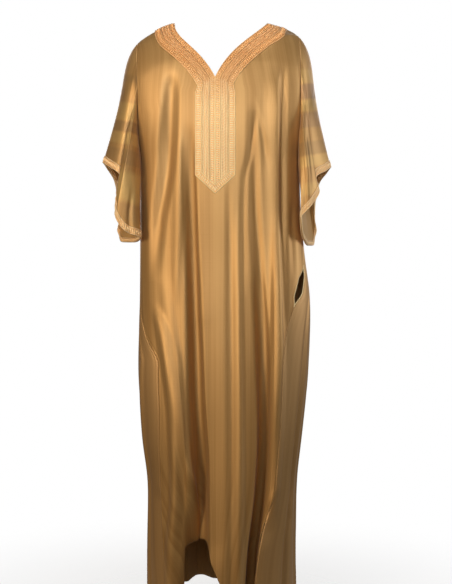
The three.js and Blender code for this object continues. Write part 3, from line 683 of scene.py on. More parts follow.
def satin(name, light, dark, bars=()):
    finish = Finish(name, Anisotropic=0.5, Sheen_Weight=0.1, Sheen_Roughness=0.4)
    place = finish.node("ShaderNodeUVMap", {"uv_map": "cloth"})
    across, up = (finish.part(place, axis) for axis in "XY")

    def pattern(scales, **settings):
        sockets = {"X": across * scales[0], "Y": up * scales[1]}
        return finish.noise(finish.node("ShaderNodeCombineXYZ", None, sockets), **settings)

    wide_streaks, fine_streaks, slubs = (pattern(p) for p in (WIDE_STREAKS, FINE_STREAKS, SLUBS))
    tone = wide_streaks * 0.45 + pattern(STREAKS) * 0.35 + fine_streaks * 0.14 + slubs * 0.06
    color = finish.mix(finish.smooth(tone, 0.38, 0.62), dark, light)
    for low, high, soft, shade, share in bars:
        wavy = up + (pattern(BAR_WAVES) - 0.5) * 0.006
        color = finish.mix(wavy.between(low, high, soft) * share, color, shade)
    inside = finish.node("ShaderNodeAttribute", {"attribute_name": "inside"}, output=2)
    color = finish.mix(inside, color, light)
    weave = pattern(THREADS, detail=1.0) + pattern(WEFT, detail=1.0) * 0.5
    relief = finish.bump(pattern(SOFT_DENTS, roughness=0.4), 0.0024, 0.5)
    relief = finish.bump(weave, 0.00005, 0.4, under=relief)
    rough = 0.45 + fine_streaks * 0.05 + inside * 0.3
    return finish.feed(Base_Color=color, Roughness=rough, Metallic=0.48 - inside * 0.3, Normal=relief)


GOLD, BRONZE = (0.59, 0.345, 0.125), (0.46, 0.25, 0.08)
body_satin = satin("body_satin", GOLD, BRONZE)
gore_satin = satin("gore_satin", (0.56, 0.33, 0.13), (0.48, 0.27, 0.10))
print("satins:", body_satin.name, gore_satin.name)

# %% Satin of the sleeves
LIGHT_BAR, DARK_BAR, PLUM_BAR = (0.66, 0.43, 0.15), (0.36, 0.215, 0.085), (0.34, 0.19, 0.10)
# Bars that cross the sleeves: from and to down the arm, softness, colour and strength.
BARS = {
    "left": (
        (0.082, 0.100, 0.006, DARK_BAR, 0.35), (0.150, 0.195, 0.004, LIGHT_BAR, 0.55),
        (0.197, 0.222, 0.003, DARK_BAR, 0.6), (0.224, 0.252, 0.004, LIGHT_BAR, 0.55),
        (0.264, 0.300, 0.004, DARK_BAR, 0.5), (0.316, 0.386, 0.010, LIGHT_BAR, 0.75),
        (0.392, 0.430, 0.006, DARK_BAR, 0.35),
    ),
    "right": (
        (0.070, 0.104, 0.005, LIGHT_BAR, 0.45), (0.106, 0.142, 0.004, PLUM_BAR, 0.55),
        (0.144, 0.172, 0.004, LIGHT_BAR, 0.5), (0.176, 0.212, 0.004, PLUM_BAR, 0.45),
        (0.246, 0.278, 0.004, DARK_BAR, 0.5), (0.280, 0.306, 0.004, LIGHT_BAR, 0.5),
        (0.344, 0.372, 0.006, LIGHT_BAR, 0.4), (0.396, 0.430, 0.006, DARK_BAR, 0.35),
    ),
}
sleeve_satin = {side: satin(side + "_sleeve_satin", GOLD, BRONZE, BARS[side]) for side in SIDES}
print("bars:", {side: len(bars) for side, bars in BARS.items()})

# %% [markdown]
# ## Silk thread
# Braids, cords and stitches are wound silk. Thread scatters light more than satin does. It is deeper in
# colour round the neck
# than down the plastron: partly the braid's own colour, and partly painted shade round the neck, where
# it turns away from the light, and painted light down the plastron, where it lies flat and catches the
# light.
# One flat colour would look like plastic, so fine grain and wider patches shift the share of the
# pale colour and the deep one.

# %% Thread finish
GRAIN, PATCHES = 900.0, 60.0  # changes in a metre
DEEP_AND_SHADED_ABOVE, PALE_AND_LIT_BELOW = -0.09, -0.24  # heights, in metres, of the deep colour round the neck and the pale colour below it: partly the braid's own colour, partly painted shade round the neck and painted light down the plastron


def silk(name, pale, deep):
    finish = Finish(name, Roughness=0.5, Metallic=0.35, Sheen_Weight=0.2, Sheen_Roughness=0.4)
    place = finish.node("ShaderNodeTexCoord", output=3)
    grain, patches = (finish.noise(place, scale=scale) for scale in (GRAIN, PATCHES))
    # Painted light and shade, in part: the thread is paler low down, where it lies flat on the plastron
    # and catches the light, and deeper round the neck, where it turns away from the light; the rest is
    # the braid's own colour.
    pale_and_lit_low_down = 1 - finish.smooth(finish.part(place, "Z"), PALE_AND_LIT_BELOW, DEEP_AND_SHADED_ABOVE)
    share = pale_and_lit_low_down * 0.75 + (patches - 0.5) * 0.5 + (grain - 0.5) * 0.3 + 0.1
    color = finish.mix(finish.smooth(share, 0.0, 1.0), deep, pale)
    return finish.feed(Base_Color=color, Normal=finish.bump(grain, 0.0001, 0.6))


ladder_silk = silk("ladder_silk", (1.0, 0.85, 0.52), (0.88, 0.48, 0.19))
cuff_silk = silk("cuff_silk", (1.0, 0.74, 0.41), (0.88, 0.48, 0.19))
cord_silk = silk("cord_silk", (1.0, 0.81, 0.44), (0.90, 0.52, 0.21))
ground_silk = silk("ground_silk", (0.95, 0.58, 0.24), (0.70, 0.34, 0.11))
plain_silk = silk("plain_silk", (1.0, 0.82, 0.48), (0.82, 0.44, 0.18))
stitch_silk = silk("stitch_silk", (0.50, 0.31, 0.13), (0.46, 0.27, 0.10))
print("materials so far:", len(bpy.data.materials))

# %% [markdown]
# ## Panels laid on the form
# A front, a back and two gores are cut and sewn along the seams. A subdivided plane pressed on the
# form would have slanting cells at the neck and at the hem. These panels are laid row by row, with
# points about 4 mm apart, and closer together beside a seam, where the cloth dips to its stitches.

# %% Places of the points across and down a panel
STEP = 4.0  # between the points of a panel
EDGE_STEPS = np.array([9.5, 7.0, 4.8, 2.6, 1.1, 0.0])  # closer together beside a seam
EDGE_ZONE = 13.0
PANEL_HALF, GORE_WIDTH = 165, 180  # usual widths, which set how the points are spread
NECK_LENGTH, NOTCH_FALL = 200, 50  # half the neck edge, and the fall under its notch, roughly
LINES = np.concatenate([
    np.linspace(a, b, count, endpoint=False)
    for a, b, count in zip(BRAID_LINES[:-1], BRAID_LINES[1:], (3, 5, 4))
])


def shares_for(wide):
    """Shares of a width at which the points lie, even at first and then closer to the seam."""
    count = int(np.ceil((wide - EDGE_ZONE) / STEP)) + 1
    return np.concatenate([np.linspace(0, 1 - EDGE_ZONE / wide, count), 1 - EDGE_STEPS / wide])


def row_fall(row):
    """About how far the cloth runs from a row of the tables to the next one."""
    if row == NOTCH_ROW:
        return NOTCH_FALL
    if row < NOTCH_ROW:
        along, below = (NECK_ROWS.read(k, row + 1) - NECK_ROWS.read(k, row) for k in ("along", "below"))
        return max(below, NECK_LENGTH * along)
    return max(abs(LOWER_ROWS.read(k, row + 1) - LOWER_ROWS.read(k, row)) for k in ("front", "side"))


def fine_rows(first, last):
    """Row places between two rows of the tables, close enough together everywhere."""
    rows = []
    for row in range(first, last):
        count = int(np.ceil(row_fall(row) / STEP))
        rows.extend(np.linspace(row, row + 1, count, endpoint=False))
    return [*rows, float(last)]


SHARES = shares_for(PANEL_HALF)
PARTS = {"neck": fine_rows(0, NOTCH_ROW), "lower": fine_rows(NOTCH_ROW, HEM_ROW)}
print("points across:", len(LINES) + len(SHARES), "and rows:", {k: len(v) for k, v in PARTS.items()})

# %% Halves of the front and the back
halves = {
    (face, side, part): half_rows(face, side, rows, LINES, SHARES)
    for face in FACES
    for side in SIDES
    for part, rows in PARTS.items()
}


def panel_map(points, side):
    """Places on the cloth: across from the centre line, and up with the warp, in metres."""
    across = points[:, :1, 0] + SIDES[side] * lengths(points, 1)
    return np.stack([across, points[..., 2]], axis=-1) * MM


for key, points in halves.items():
    print(*key, points.shape[:2], "widest", round(float(lengths(points, 1).max())), "mm")


# %% Gores
FOLDS_END = 110  # within this length of the slit's top, the form's folds leave the gore's front


def gore_points(side, columns=46):
    """Rows of a gore's points, each from its front edge round the side to its back edge."""
    zone = EDGE_ZONE / GORE_WIDTH
    edge = EDGE_STEPS / GORE_WIDTH
    shares = np.concatenate([edge[::-1], np.linspace(zone, 1 - zone, columns), 1 - edge])
    points = []
    for row in PARTS["lower"]:
        if row < UNDERARM_ROW:
            continue
        level = LOWER_ROWS.read("side", row)
        z = level + (SIDE_HEM - HEM_LEVEL) * ease(HEM_STARTS, HEM_LEVEL, level)
        shared = z
        if row <= SLIT_ROW:
            edge_x = seam_x(side, level, "front")
            shared = lower_height("front", LOWER_ROWS.read("front", row), level, edge_x, 1.0)
        height = mix(shared, z, shares)
        front = seam_angle(side, height, "gore") + (2 * np.pi if side == "left" else 0)
        back = seam_angle(side, height, "back")
        fading = 1 - ease(-SLIT_TOP, -SLIT_TOP + FOLDS_END, -height)
        folded = mix(fading, 1.0, ease(0.5, 0.6, shares))
        points.append(on_body(mix(front, back, shares), height, folded))
    return np.array(points)


gores = {side: gore_points(side) for side in SIDES}
print("gore grids:", {side: points.shape[:2] for side, points in gores.items()})

# %% [markdown]
# ## Sleeves
# A sleeve is cut as one piece, closed under the arm and sewn to the armhole. Lofting it between
# two circles would lose both edges, so it runs from the very points of the armhole to a loop of
# the cuff, and swells a little near the shoulder and forward in the middle on its way.

# %% Cuffs
# The cuffs' loops: down the front from the top, under the arm, and up the back.
LEFT_CUFF = closed(
    "round x y z out fore",
    (0.0, -283, 9, -346, 12, 0), (0.07, -264, -28, -359, 8, 2), (0.13, -242, -48, -374, 4, -4),
    (0.19, -228, -44, -400, -3, -10), (0.26, -240, -80, -452, 2, 14), (0.32, -244, -94, -480, 2, 26),
    (0.39, -220, -96, -519, -3, 22), (0.46, -184, -74, -536, -5, 14), (0.52, -204, -20, -546, 10, 0),
    (0.6, -237, 30, -545, 14, -6), (0.7, -247, 60, -514, 10, -20), (0.79, -249, 68, -446, 6, -18),
    (0.88, -257, 54, -392, 6, -10), (0.95, -273, 30, -362, 11, -4),
)
RIGHT_CUFF = closed(
    "round x y z out fore",
    (0.0, 287, 6, -358, 14, 0), (0.08, 270, -30, -370, 9, 4), (0.15, 246, -52, -385, 6, 8),
    (0.2, 243, -56, -404, 4, 6), (0.24, 252, -66, -421, 4, 6), (0.32, 222, -92, -466, 0, 18),
    (0.38, 206, -90, -489, -4, 18), (0.45, 211, -68, -528, -4, 10), (0.52, 229, -18, -554, 6, 0),
    (0.6, 244, 30, -554, 10, -6), (0.7, 251, 58, -516, 8, -18), (0.79, 253, 68, -444, 8, -18),
    (0.88, 262, 54, -396, 8, -10), (0.95, 278, 30, -372, 12, -4),
)
CUFFS = {"left": LEFT_CUFF, "right": RIGHT_CUFF}
print("rows of the cuffs, with the repeated ends:", {side: len(cuff.at) for side, cuff in CUFFS.items()})

# %% Sleeves
SLEEVE_START = (0, 0.004, 0.012, 0.02)  # shares of the first rows, close to the armhole's seam


def armhole_ring(side):
    """The armhole's points: down the front from the shoulder, under the arm, up the back."""
    keep = [k for k, row in enumerate(PARTS["lower"]) if row <= UNDERARM_ROW]
    front, back = (
        np.concatenate([halves[face, side, "neck"][:-1, -1], halves[face, side, "lower"][keep, -1]])
        for face in FACES
    )
    below = gores[side][0, 1:-1]
    return np.concatenate([front, below, back[:0:-1], front[:1]])


def sleeve_points(side, rows=70):
    """Rings of a sleeve's points from the armhole to the cuff, and each point's share of a ring."""
    cuff = CUFFS[side]
    armhole = armhole_ring(side)
    run = lengths(armhole, 0)
    place = run / run[-1]
    x, y, z, out, fore = (cuff.read(key, place % 1) for key in ("x", "y", "z", "out", "fore"))
    down = np.linspace(SLEEVE_START[-1], 1, rows)
    along = np.concatenate([SLEEVE_START[:-1], down])[:, None, None]
    near_shoulder = 15 * along * (1 - along) ** 5  # about 1 where it is fullest
    middle = np.sin(np.pi * along**0.8)
    points = mix(armhole[None], np.stack([x, y, z], axis=-1)[None], along)
    points[..., 0] += (SIDES[side] * out[None, :, None] * near_shoulder)[..., 0]
    points[..., 1] -= (fore[None, :, None] * middle)[..., 0]
    return points, place


sleeves = {side: sleeve_points(side) for side in SIDES}
print("sleeve grids:", {side: points.shape[:2] for side, (points, place) in sleeves.items()})

# %% [markdown]
# ## Fine folds
# The large folds are already in the robe's form. These are the smaller ones that fall between
# them: a narrow ridge that catches the light, the pinched crease of an inverted V beside the
# plastron, a long crease that runs down and inwards, and soft troughs. They could be sculpted, but
# as rows of a table each one can be moved alone. Each is wider on one side than on the other when
# it leans.

# %% Fine folds of the front
FINE_FOLD = "z x left right rise"
FRONT_FINE = folds_of(
    FINE_FOLD,
    narrow_trough=[
        (-380, 30, 10, 9, 0), (-460, 32, 12, 10, -2), (-560, 35, 16, 10, -3),
        (-900, 37, 18, 10, -3), (-1200, 38, 18, 10, -2), (-1430, 38, 18, 10, -2),
    ],
    bright_ridge=[
        (-440, 54, 12, 14, 0), (-600, 54, 14, 14, 5), (-990, 58, 18, 14, 8),
        (-1300, 54, 20, 16, 10), (-1430, 52, 20, 16, 10),
    ],
    pinch_left=[
        (-200, 99, 9, 8, 0), (-250, 95, 10, 9, -2.6), (-320, 84, 12, 11, -3.6),
        (-400, 70, 14, 12, -4), (-560, 66, 16, 14, -3), (-680, 66, 16, 14, 0),
    ],
    pinch_right=[
        (-210, 101, 8, 9, 0), (-250, 105, 9, 10, -2.6), (-310, 116, 11, 12, -3),
        (-380, 124, 12, 12, 0),
    ],
    right_trough=[
        (-180, 90, 16, 14, 0), (-300, 92, 22, 16, -4), (-440, 96, 24, 16, -7),
        (-600, 108, 26, 14, -9), (-760, 117, 28, 12, -8), (-1000, 121, 28, 12, -7),
        (-1150, 110, 26, 14, -8), (-1290, 92, 24, 14, -11), (-1430, 82, 22, 14, -10),
    ],
    armhole_trough=[
        (-90, 166, 12, 12, 0), (-180, 164, 16, 14, -6), (-300, 162, 18, 14, -10),
        (-480, 162, 18, 14, -10), (-640, 164, 16, 12, -6), (-800, 164, 14, 10, 0),
    ],
    right_side_trough=[(-420, 187, 7, 7, 0), (-500, 187, 8, 8, -4), (-640, 190, 8, 8, 0)],
    skirt_trough=[
        (-700, -40, 18, 60, 0), (-900, -38, 24, 84, -6), (-1100, -32, 24, 84, -9),
        (-1260, -30, 22, 70, -9), (-1330, -30, 18, 50, -6), (-1430, -30, 18, 40, -3),
    ],
    left_gathers=[
        (-240, -60, 12, 10, 0), (-320, -58, 16, 12, -4), (-440, -55, 20, 12, -7),
        (-600, -52, 22, 12, -8), (-760, -48, 24, 12, -8), (-900, -46, 24, 14, -4),
        (-1000, -46, 22, 14, 0),
    ],
    left_chest_ridge=[
        (-260, -90, 18, 14, 0), (-380, -90, 20, 14, 4), (-480, -90, 22, 14, 5),
        (-620, -94, 18, 14, 3), (-700, -96, 16, 14, 0),
    ],
    long_crease=[
        (-600, -128, 20, 20, 0), (-705, -116, 24, 20, 2.5), (-778, -104, 26, 18, 4),
        (-830, -94, 26, 16, 6), (-915, -87, 24, 17, 8), (-990, -81, 24, 18, 10),
        (-1058, -74, 24, 18, 11), (-1158, -56, 26, 16, 11), (-1252, -42, 24, 14, 8),
        (-1300, -38, 22, 12, 4),
    ],
    right_crest=[
        (-110, 144, 34, 14, 0), (-240, 150, 40, 12, 9), (-560, 154, 38, 11, 9),
        (-800, 154, 30, 10, 9), (-1000, 150, 28, 10, 6), (-1140, 142, 26, 10, 0),
    ],
)
print("fine folds in front:", len(FRONT_FINE))

# %% Fine folds of the back
BACK_FINE = folds_of(
    FINE_FOLD,
    left_narrow=[
        (-300, -62, 9, 9, 0), (-520, -60, 11, 10, -6), (-900, -58, 11, 10, -8),
        (-1414, -60, 12, 12, -7),
    ],
    centre_ridge=[
        (-330, 26, 10, 9, 0), (-560, 28, 12, 10, 5), (-1000, 30, 13, 11, 7), (-1414, 34, 14, 12, 8),
    ],
    right_narrow=[(-360, 82, 9, 9, 0), (-620, 80, 11, 10, -6), (-1414, 76, 12, 11, -8)],
    left_shoulder_drag=[
        (-120, -112, 9, 9, 0), (-200, -126, 13, 11, -8), (-330, -146, 14, 12, -9),
        (-520, -150, 12, 12, -5), (-700, -152, 10, 10, 0),
    ],
    right_shoulder_drag=[
        (-110, 140, 9, 9, 0), (-200, 152, 13, 11, -8), (-330, 162, 14, 12, -9),
        (-560, 164, 12, 12, -4), (-700, 166, 10, 10, 0),
    ],
    left_side_ridge=[(-640, -128, 12, 14, 0), (-900, -126, 14, 16, 6), (-1414, -124, 16, 18, 7)],
    right_side_ridge=[(-600, 142, 12, 14, 0), (-900, 140, 14, 16, 6), (-1414, 136, 16, 18, 7)],
)
print("fine folds behind:", len(BACK_FINE))

# %% Relief of the panels
# Beside a seam the cloth is drawn in, and a row of stitches dents it.
SEAM_DIP, SEAM_WIDE = 1.3, 1.6
STITCH_OFF, STITCH_DIP, STITCH_WIDE = 7.0, 0.7, 1.3
FREE_FROM_SEAM = 16  # the folds reach their full rise at this distance from a seam


def fine_rise(folds, x, z):
    """How far the fine folds lift a panel at some places."""
    total = 0 * x
    for fold in folds:
        off = x - fold.read("x", z)
        half = np.where(off < 0, fold.read("left", z), fold.read("right", z))
        inside = (z >= fold.at[0]) * ease(0, FOLD_START, fold.at[-1] - z)
        total += inside * fold.read("rise", z) * np.cos(np.clip(off / half, -1, 1) * np.pi / 2) ** 2
    return total


def seam_relief(off):
    """Rise at some distances from a seam."""
    dent = np.exp(-(((off - STITCH_OFF) / STITCH_WIDE) ** 2))
    return -SEAM_DIP * np.exp(-((off / SEAM_WIDE) ** 2)) - STITCH_DIP * dent


def panel_relief(face, points):
    run = lengths(points, 1)
    off = run[:, -1:] - run
    folds = fine_rise(FRONT_FINE if face == "front" else BACK_FINE, points[..., 0], points[..., 2])
    return folds * ease(0, FREE_FROM_SEAM, off) + seam_relief(off)


def panel_flips(face, side):
    """Whether the cells of a half are wound the other way round, so that they face out."""
    return (face == "front") == (side == "left")


def panel(face):
    sheet = Sheet()
    for side in SIDES:
        for part in PARTS:
            points = halves[face, side, part]
            uv = panel_map(points, side)
            sheet.grid(points, uv, panel_relief(face, points), panel_flips(face, side))
    return shell(face + "_panel", sheet, body_satin)


made = {(face + "_upper", face + "_lower"): panel(face) for face in FACES}

# %% Folds of the gores and the sleeves
# Across a gore, `at` is the share of its width from the left, as seen from outside. Round a
# sleeve, it is the share of the loop, down the front first.
GORE_FOLD, SLEEVE_FOLD = "z at half rise", "along at half rise"
GORE_FINE = {
    "left": folds_of(
        GORE_FOLD,
        hollow=[
            (-420, 0.5, 0.10, 0), (-700, 0.42, 0.09, -5), (-1000, 0.36, 0.07, -8),
            (-1430, 0.34, 0.06, -9),
        ],
        ridge=[(-700, 0.72, 0.08, 0), (-1000, 0.66, 0.07, 6), (-1430, 0.64, 0.07, 8)],
    ),
    "right": folds_of(
        GORE_FOLD,
        hollow=[
            (-480, 0.55, 0.10, 0), (-760, 0.38, 0.08, -5), (-1000, 0.33, 0.06, -8),
            (-1430, 0.30, 0.06, -9),
        ],
        ridge=[(-640, 0.7, 0.09, 0), (-960, 0.62, 0.07, 6), (-1430, 0.60, 0.07, 8)],
    ),
}
SLEEVE_BACK = {
    "back_hollow": [(0.1, 0.74, 0.03, 0), (0.5, 0.72, 0.04, -10), (1, 0.70, 0.04, -6)],
    "back_ridge": [(0.2, 0.84, 0.03, 0), (0.6, 0.83, 0.03, 6), (1, 0.82, 0.03, 4)],
}
SLEEVE_FINE = {
    "left": folds_of(
        SLEEVE_FOLD,
        crease=[
            (0.08, 0.19, 0.014, 0), (0.3, 0.195, 0.016, -11), (0.7, 0.2, 0.018, -13),
            (1, 0.205, 0.022, -6),
        ],
        ridge=[(0.1, 0.25, 0.03, 0), (0.4, 0.255, 0.04, 8), (0.8, 0.26, 0.04, 8), (1, 0.27, 0.03, 3)],
        under_hollow=[(0.55, 0.40, 0.02, 0), (0.8, 0.40, 0.02, -5), (1, 0.41, 0.02, -4)],
        **SLEEVE_BACK,
    ),
    "right": folds_of(
        SLEEVE_FOLD,
        hollow=[
            (0.06, 0.16, 0.05, 0), (0.3, 0.18, 0.05, -2.5), (0.7, 0.2, 0.05, -2.5),
            (1, 0.21, 0.04, -2),
        ],
        ridge=[(0.3, 0.30, 0.03, 0), (0.6, 0.30, 0.03, 5), (1, 0.31, 0.03, 3)],
        **SLEEVE_BACK,
    ),
}
# At the slits the gore's edge lies under the front's; at the right it comes out on top lower down.
GORE_LAP = {
    "left": Table("z rise", (SLIT_TOP, 0), (-1180, -2.4), (-1430, -3)),
    "right": Table("z rise", (SLIT_TOP, 0), (-1180, -2.4), (-1236, -2.4), (-1290, 2), (-1430, 2)),
}
print("folds of the sleeves:", {side: len(folds) for side, folds in SLEEVE_FINE.items()})

# %% Relief of the gores and the sleeves
LAP_FROM, LAP_TO = 8, 40  # the lap dies out between these distances from the gore's front edge
FREE_FROM_ARMHOLE = 20


def strip_rise(folds, place, at):
    """How far the folds lift a gore or a sleeve, by the place along it and the share across."""
    total = 0 * (place + at)
    for fold in folds:
        off = (at - fold.read("at", place)) / fold.read("half", place)
        inside = (abs(off) < 1) & (place <= fold.at[-1]) & (place >= fold.at[0])
        total += inside * fold.read("rise", place) * np.cos(np.clip(off, -1, 1) * np.pi / 2) ** 2
    return total


def gore_relief(side, points):
    run = lengths(points, 1)
    share = run / run[:, -1:]
    if side == "left":
        share = 1 - share
    off = np.minimum(run, run[:, -1:] - run)
    z = points[..., 2]
    lap = GORE_LAP[side].read("rise", z) * (1 - ease(LAP_FROM, LAP_TO, run))
    folds = strip_rise(GORE_FINE[side], z, share)
    return folds * ease(0, FREE_FROM_SEAM, off) + seam_relief(off) + lap


def sleeve_relief(side, points, place):
    run = lengths(points, 0)
    along = run / run[-1:]
    folds = strip_rise(SLEEVE_FINE[side], along, place[None, :] + 0 * along)
    return folds * ease(0, FREE_FROM_ARMHOLE, run) + seam_relief(run)


for side in SIDES:
    rise = sleeve_relief(side, *sleeves[side])
    print(f"{side} sleeve: its folds rise from {rise.min():.1f} to {rise.max():.1f} mm")


# %% Gores and sleeves, and what each cloth stands for in the frame
# The woven bars lie square to the arm, so the sleeve's map runs straight along it.
ARM_FROM = {"left": np.array([-200, -50]), "right": np.array([212, -50])}
ARM_ALONG = {"left": np.array([-0.27, -0.963]), "right": np.array([0.24, -0.971])}


def gore(side):
    points = gores[side]
    uv = np.stack([lengths(points, 1), points[..., 2]], axis=-1) * MM
    sheet = Sheet().grid(points, uv, gore_relief(side, points), flip=side == "left")
    return shell("gore_" + side, sheet, gore_satin)


def sleeve(side):
    points, place = sleeves[side]
    round_cuff = lengths(points[-1:], 1).repeat(len(points), 0)
    down_arm = (points[..., [0, 2]] - ARM_FROM[side]) @ ARM_ALONG[side]
    uv = np.stack([round_cuff, down_arm], axis=-1) * MM
    sheet = Sheet().grid(points, uv, sleeve_relief(side, points, place), flip=side == "right")
    return shell(side + "_sleeve", sheet, sleeve_satin[side])


for side in SIDES:
    made[f"gore_{side}_upper", f"gore_{side}_lower"] = gore(side)
    made[(f"sleeve_{side}",)] = sleeve(side)
for nodes, piece in made.items():
    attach(piece, "root")
    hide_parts(*nodes)
    kind = next(key for key in ("gore", "sleeve", "panel") if key in piece.name)
    "body_satin" if kind == "panel" else kind + "_satin"


# %% [markdown]
# ## Things that repeat along a line
# Stitches, ladder rungs and ribs all repeat along a line of the cloth. A loop could place them, but
# one node tree does it in Blender itself: it turns a guide line into a curve, steps along it, and
# sets a bead at each step, turned by the directions that the guide carries. A second tree winds a
# two-ply cord along a guide.

# %% Node trees
class Tree:
    """A Geometry Nodes tree with named inputs, built one node at a time."""

    def __init__(self, name, **inputs):
        self.group = bpy.data.node_groups.new(name, "GeometryNodeTree")
        self.group.interface.new_socket("Guide", in_out="INPUT", socket_type="NodeSocketGeometry")
        self.keys = {}
        for key, kind in inputs.items():
            item = self.group.interface.new_socket(key, in_out="INPUT", socket_type="NodeSocket" + kind)
            self.keys[key] = item.identifier
        self.group.interface.new_socket("Result", in_out="OUTPUT", socket_type="NodeSocketGeometry")
        self.start = self.group.nodes.new("NodeGroupInput")

    def __getitem__(self, key):
        return self.start.outputs[key]

    def node(self, kind, settings=None, output=0, **sockets):
        """Any node. A space in a socket's name is written as an underscore."""
        node = self.group.nodes.new(kind)
        for key, value in (settings or {}).items():
            setattr(node, key, value)
        for key, value in sockets.items():
            self.put(node.inputs[key.replace("_", " ")], value)
        return node.outputs[output]

    def put(self, socket, value):
        if isinstance(value, bpy.types.NodeSocket):
            self.group.links.new(value, socket)
        else:
            socket.default_value = value

    def math(self, operation, first, second):
        result = self.node("ShaderNodeMath", {"operation": operation})
        self.put(result.node.inputs[0], first)
        self.put(result.node.inputs[1], second)
        return result

    def attribute(self, name):
        return self.node("GeometryNodeInputNamedAttribute", {"data_type": "FLOAT_VECTOR"}, Name=name)

    def steps(self, length):
        """The guide line as a curve, with a point at each step."""
        curve = self.node("GeometryNodeMeshToCurve", Mesh=self["Guide"])
        return self.node("GeometryNodeResampleCurve", {"mode": "LENGTH"}, Curve=curve, Length=length)

    def finish(self, geometry):
        """Plain smooth geometry in the material that is given, as the tree's result."""
        real = self.node("GeometryNodeRealizeInstances", Geometry=geometry)
        smooth = self.node("GeometryNodeSetShadeSmooth", Geometry=real)
        painted = self.node("GeometryNodeSetMaterial", Geometry=smooth, Material=self["Material"])
        end = self.group.nodes.new("NodeGroupOutput")
        self.group.links.new(painted, end.inputs[0])
        return self


# %% Beads along a line and cords along a line
def bead_tree():
    """A row of beads: how far apart, how wide, long and thick, and how round."""
    inputs = {"Spacing": "Float", "Size": "Vector", "Sides": "Int", "Rings": "Int"}
    tree = Tree("beads_along_a_line", **inputs, Material="Material")
    steps = tree.steps(tree["Spacing"])
    round_bead = {"Segments": tree["Sides"], "Rings": tree["Rings"], "Radius": 0.5}
    bead = tree.node("GeometryNodeMeshUVSphere", **round_bead)
    axes = {"primary_axis": "Z", "secondary_axis": "X"}
    out, across = tree.attribute("out"), tree.attribute("across")
    turn = tree.node("FunctionNodeAxesToRotation", axes, Primary_Axis=out, Secondary_Axis=across)
    placed = {"Points": steps, "Instance": bead, "Rotation": turn, "Scale": tree["Size"]}
    return tree.finish(tree.node("GeometryNodeInstanceOnPoints", **placed))


def cord_tree():
    """A flat section that turns once in each pitch as it is swept, which looks like two plies."""
    inputs = {"Step": "Float", "Pitch": "Float", "Thick": "Float", "Flat": "Float", "Sides": "Int"}
    tree = Tree("cord_along_a_line", **inputs, Material="Material")
    length = tree.node("GeometryNodeSplineParameter", output=1)
    turns = tree.math("DIVIDE", length, tree["Pitch"])
    tilt = tree.math("MULTIPLY", turns, 2 * math.pi)
    wound = tree.node("GeometryNodeSetCurveTilt", Curve=tree.steps(tree["Step"]), Tilt=tilt)
    circle = tree.node("GeometryNodeCurvePrimitiveCircle", Resolution=tree["Sides"], Radius=0.5)
    sizes = tree.node("ShaderNodeCombineXYZ", X=tree["Thick"], Y=tree["Flat"], Z=1.0)
    section = tree.node("GeometryNodeTransform", Geometry=circle, Scale=sizes)
    swept = {"Curve": wound, "Profile_Curve": section, "Fill_Caps": True}
    return tree.finish(tree.node("GeometryNodeCurveToMesh", **swept))


BEADS, CORDS = bead_tree(), cord_tree()
print("node trees:", BEADS.group.name, CORDS.group.name)

# %% Laying a tree's shapes on guide lines
def lay(name, tree, lines, **inputs):
    """A plain mesh from a tree that is run on guide lines: rows of (points, out, across)."""
    guide_mesh = bpy.data.meshes.new(name + "_guide")
    points = np.concatenate([line[0] for line in lines]) * MM
    edges, count = [], 0
    for line in lines:
        size = len(line[0])
        edges += [(count + k, count + k + 1) for k in range(size - 1)]
        count += size
    guide_mesh.from_pydata(points.tolist(), edges, [])
    for key, column in (("out", 1), ("across", 2)):
        layer = guide_mesh.attributes.new(key, "FLOAT_VECTOR", "POINT")
        values = np.concatenate([line[column] for line in lines]).astype(np.float32)
        layer.data.foreach_set("vector", values.ravel())
    guide = bpy.data.objects.new(name + "_guide", guide_mesh)
    bpy.context.scene.collection.objects.link(guide)
    modifier = guide.modifiers.new("lay", "NODES")
    modifier.node_group = tree.group
    for key, value in inputs.items():
        modifier[tree.keys[key]] = value
    guide.update_tag()
    ready = guide.evaluated_get(bpy.context.evaluated_depsgraph_get())
    mesh = bpy.data.meshes.new_from_object(ready)
    mesh.name = name
    bpy.data.objects.remove(guide)
    piece = bpy.data.objects.new(name, mesh)
    bpy.context.scene.collection.objects.link(piece)
    print(f"{name}: {len(mesh.polygons)} faces")
    return piece


# %% [markdown]
# ## Lines round the neck
# Every braid of the neck follows the same path: up from the plastron's point, round the neck and
# down again. A bent strip would crease at the corners. `neck_grid` gives that path at any
# distance from the neck edge instead, with the direction out of the cloth and the direction
# across the braid.

# %% Path of a line round the neck
POINT_SLOPE = (PLASTRON["corner"] - PLASTRON["tip"]) / PLASTRON["half"]
NOTCH_X = NECK["front", "left"][-1][0]
SLANT = math.hypot(1, POINT_SLOPE)
NECK_STEPS = [step for row in range(NOTCH_ROW) for step in np.linspace(row, row + 1, 7, endpoint=False)]
NOTCH_STEPS = [NOTCH_ROW + share for share in (0.2, 0.4, 0.6, 0.8, 1)]
DOWN_STEPS, POINT_STEPS = 74, 16  # down the plastron, and from its corner to its tip


def point_height(off, inset):
    """Height of the pointed end at a distance from the centre, inset from its outer edge."""
    return PLASTRON["tip"] + POINT_SLOPE * off + inset * SLANT


def neck_place(face, side, row, line):
    """x and z at which a line round the neck crosses a row."""
    x, z, _ = row_places(face, side, row, np.array([line]), np.array([1.0]))
    return x[0], z[0]


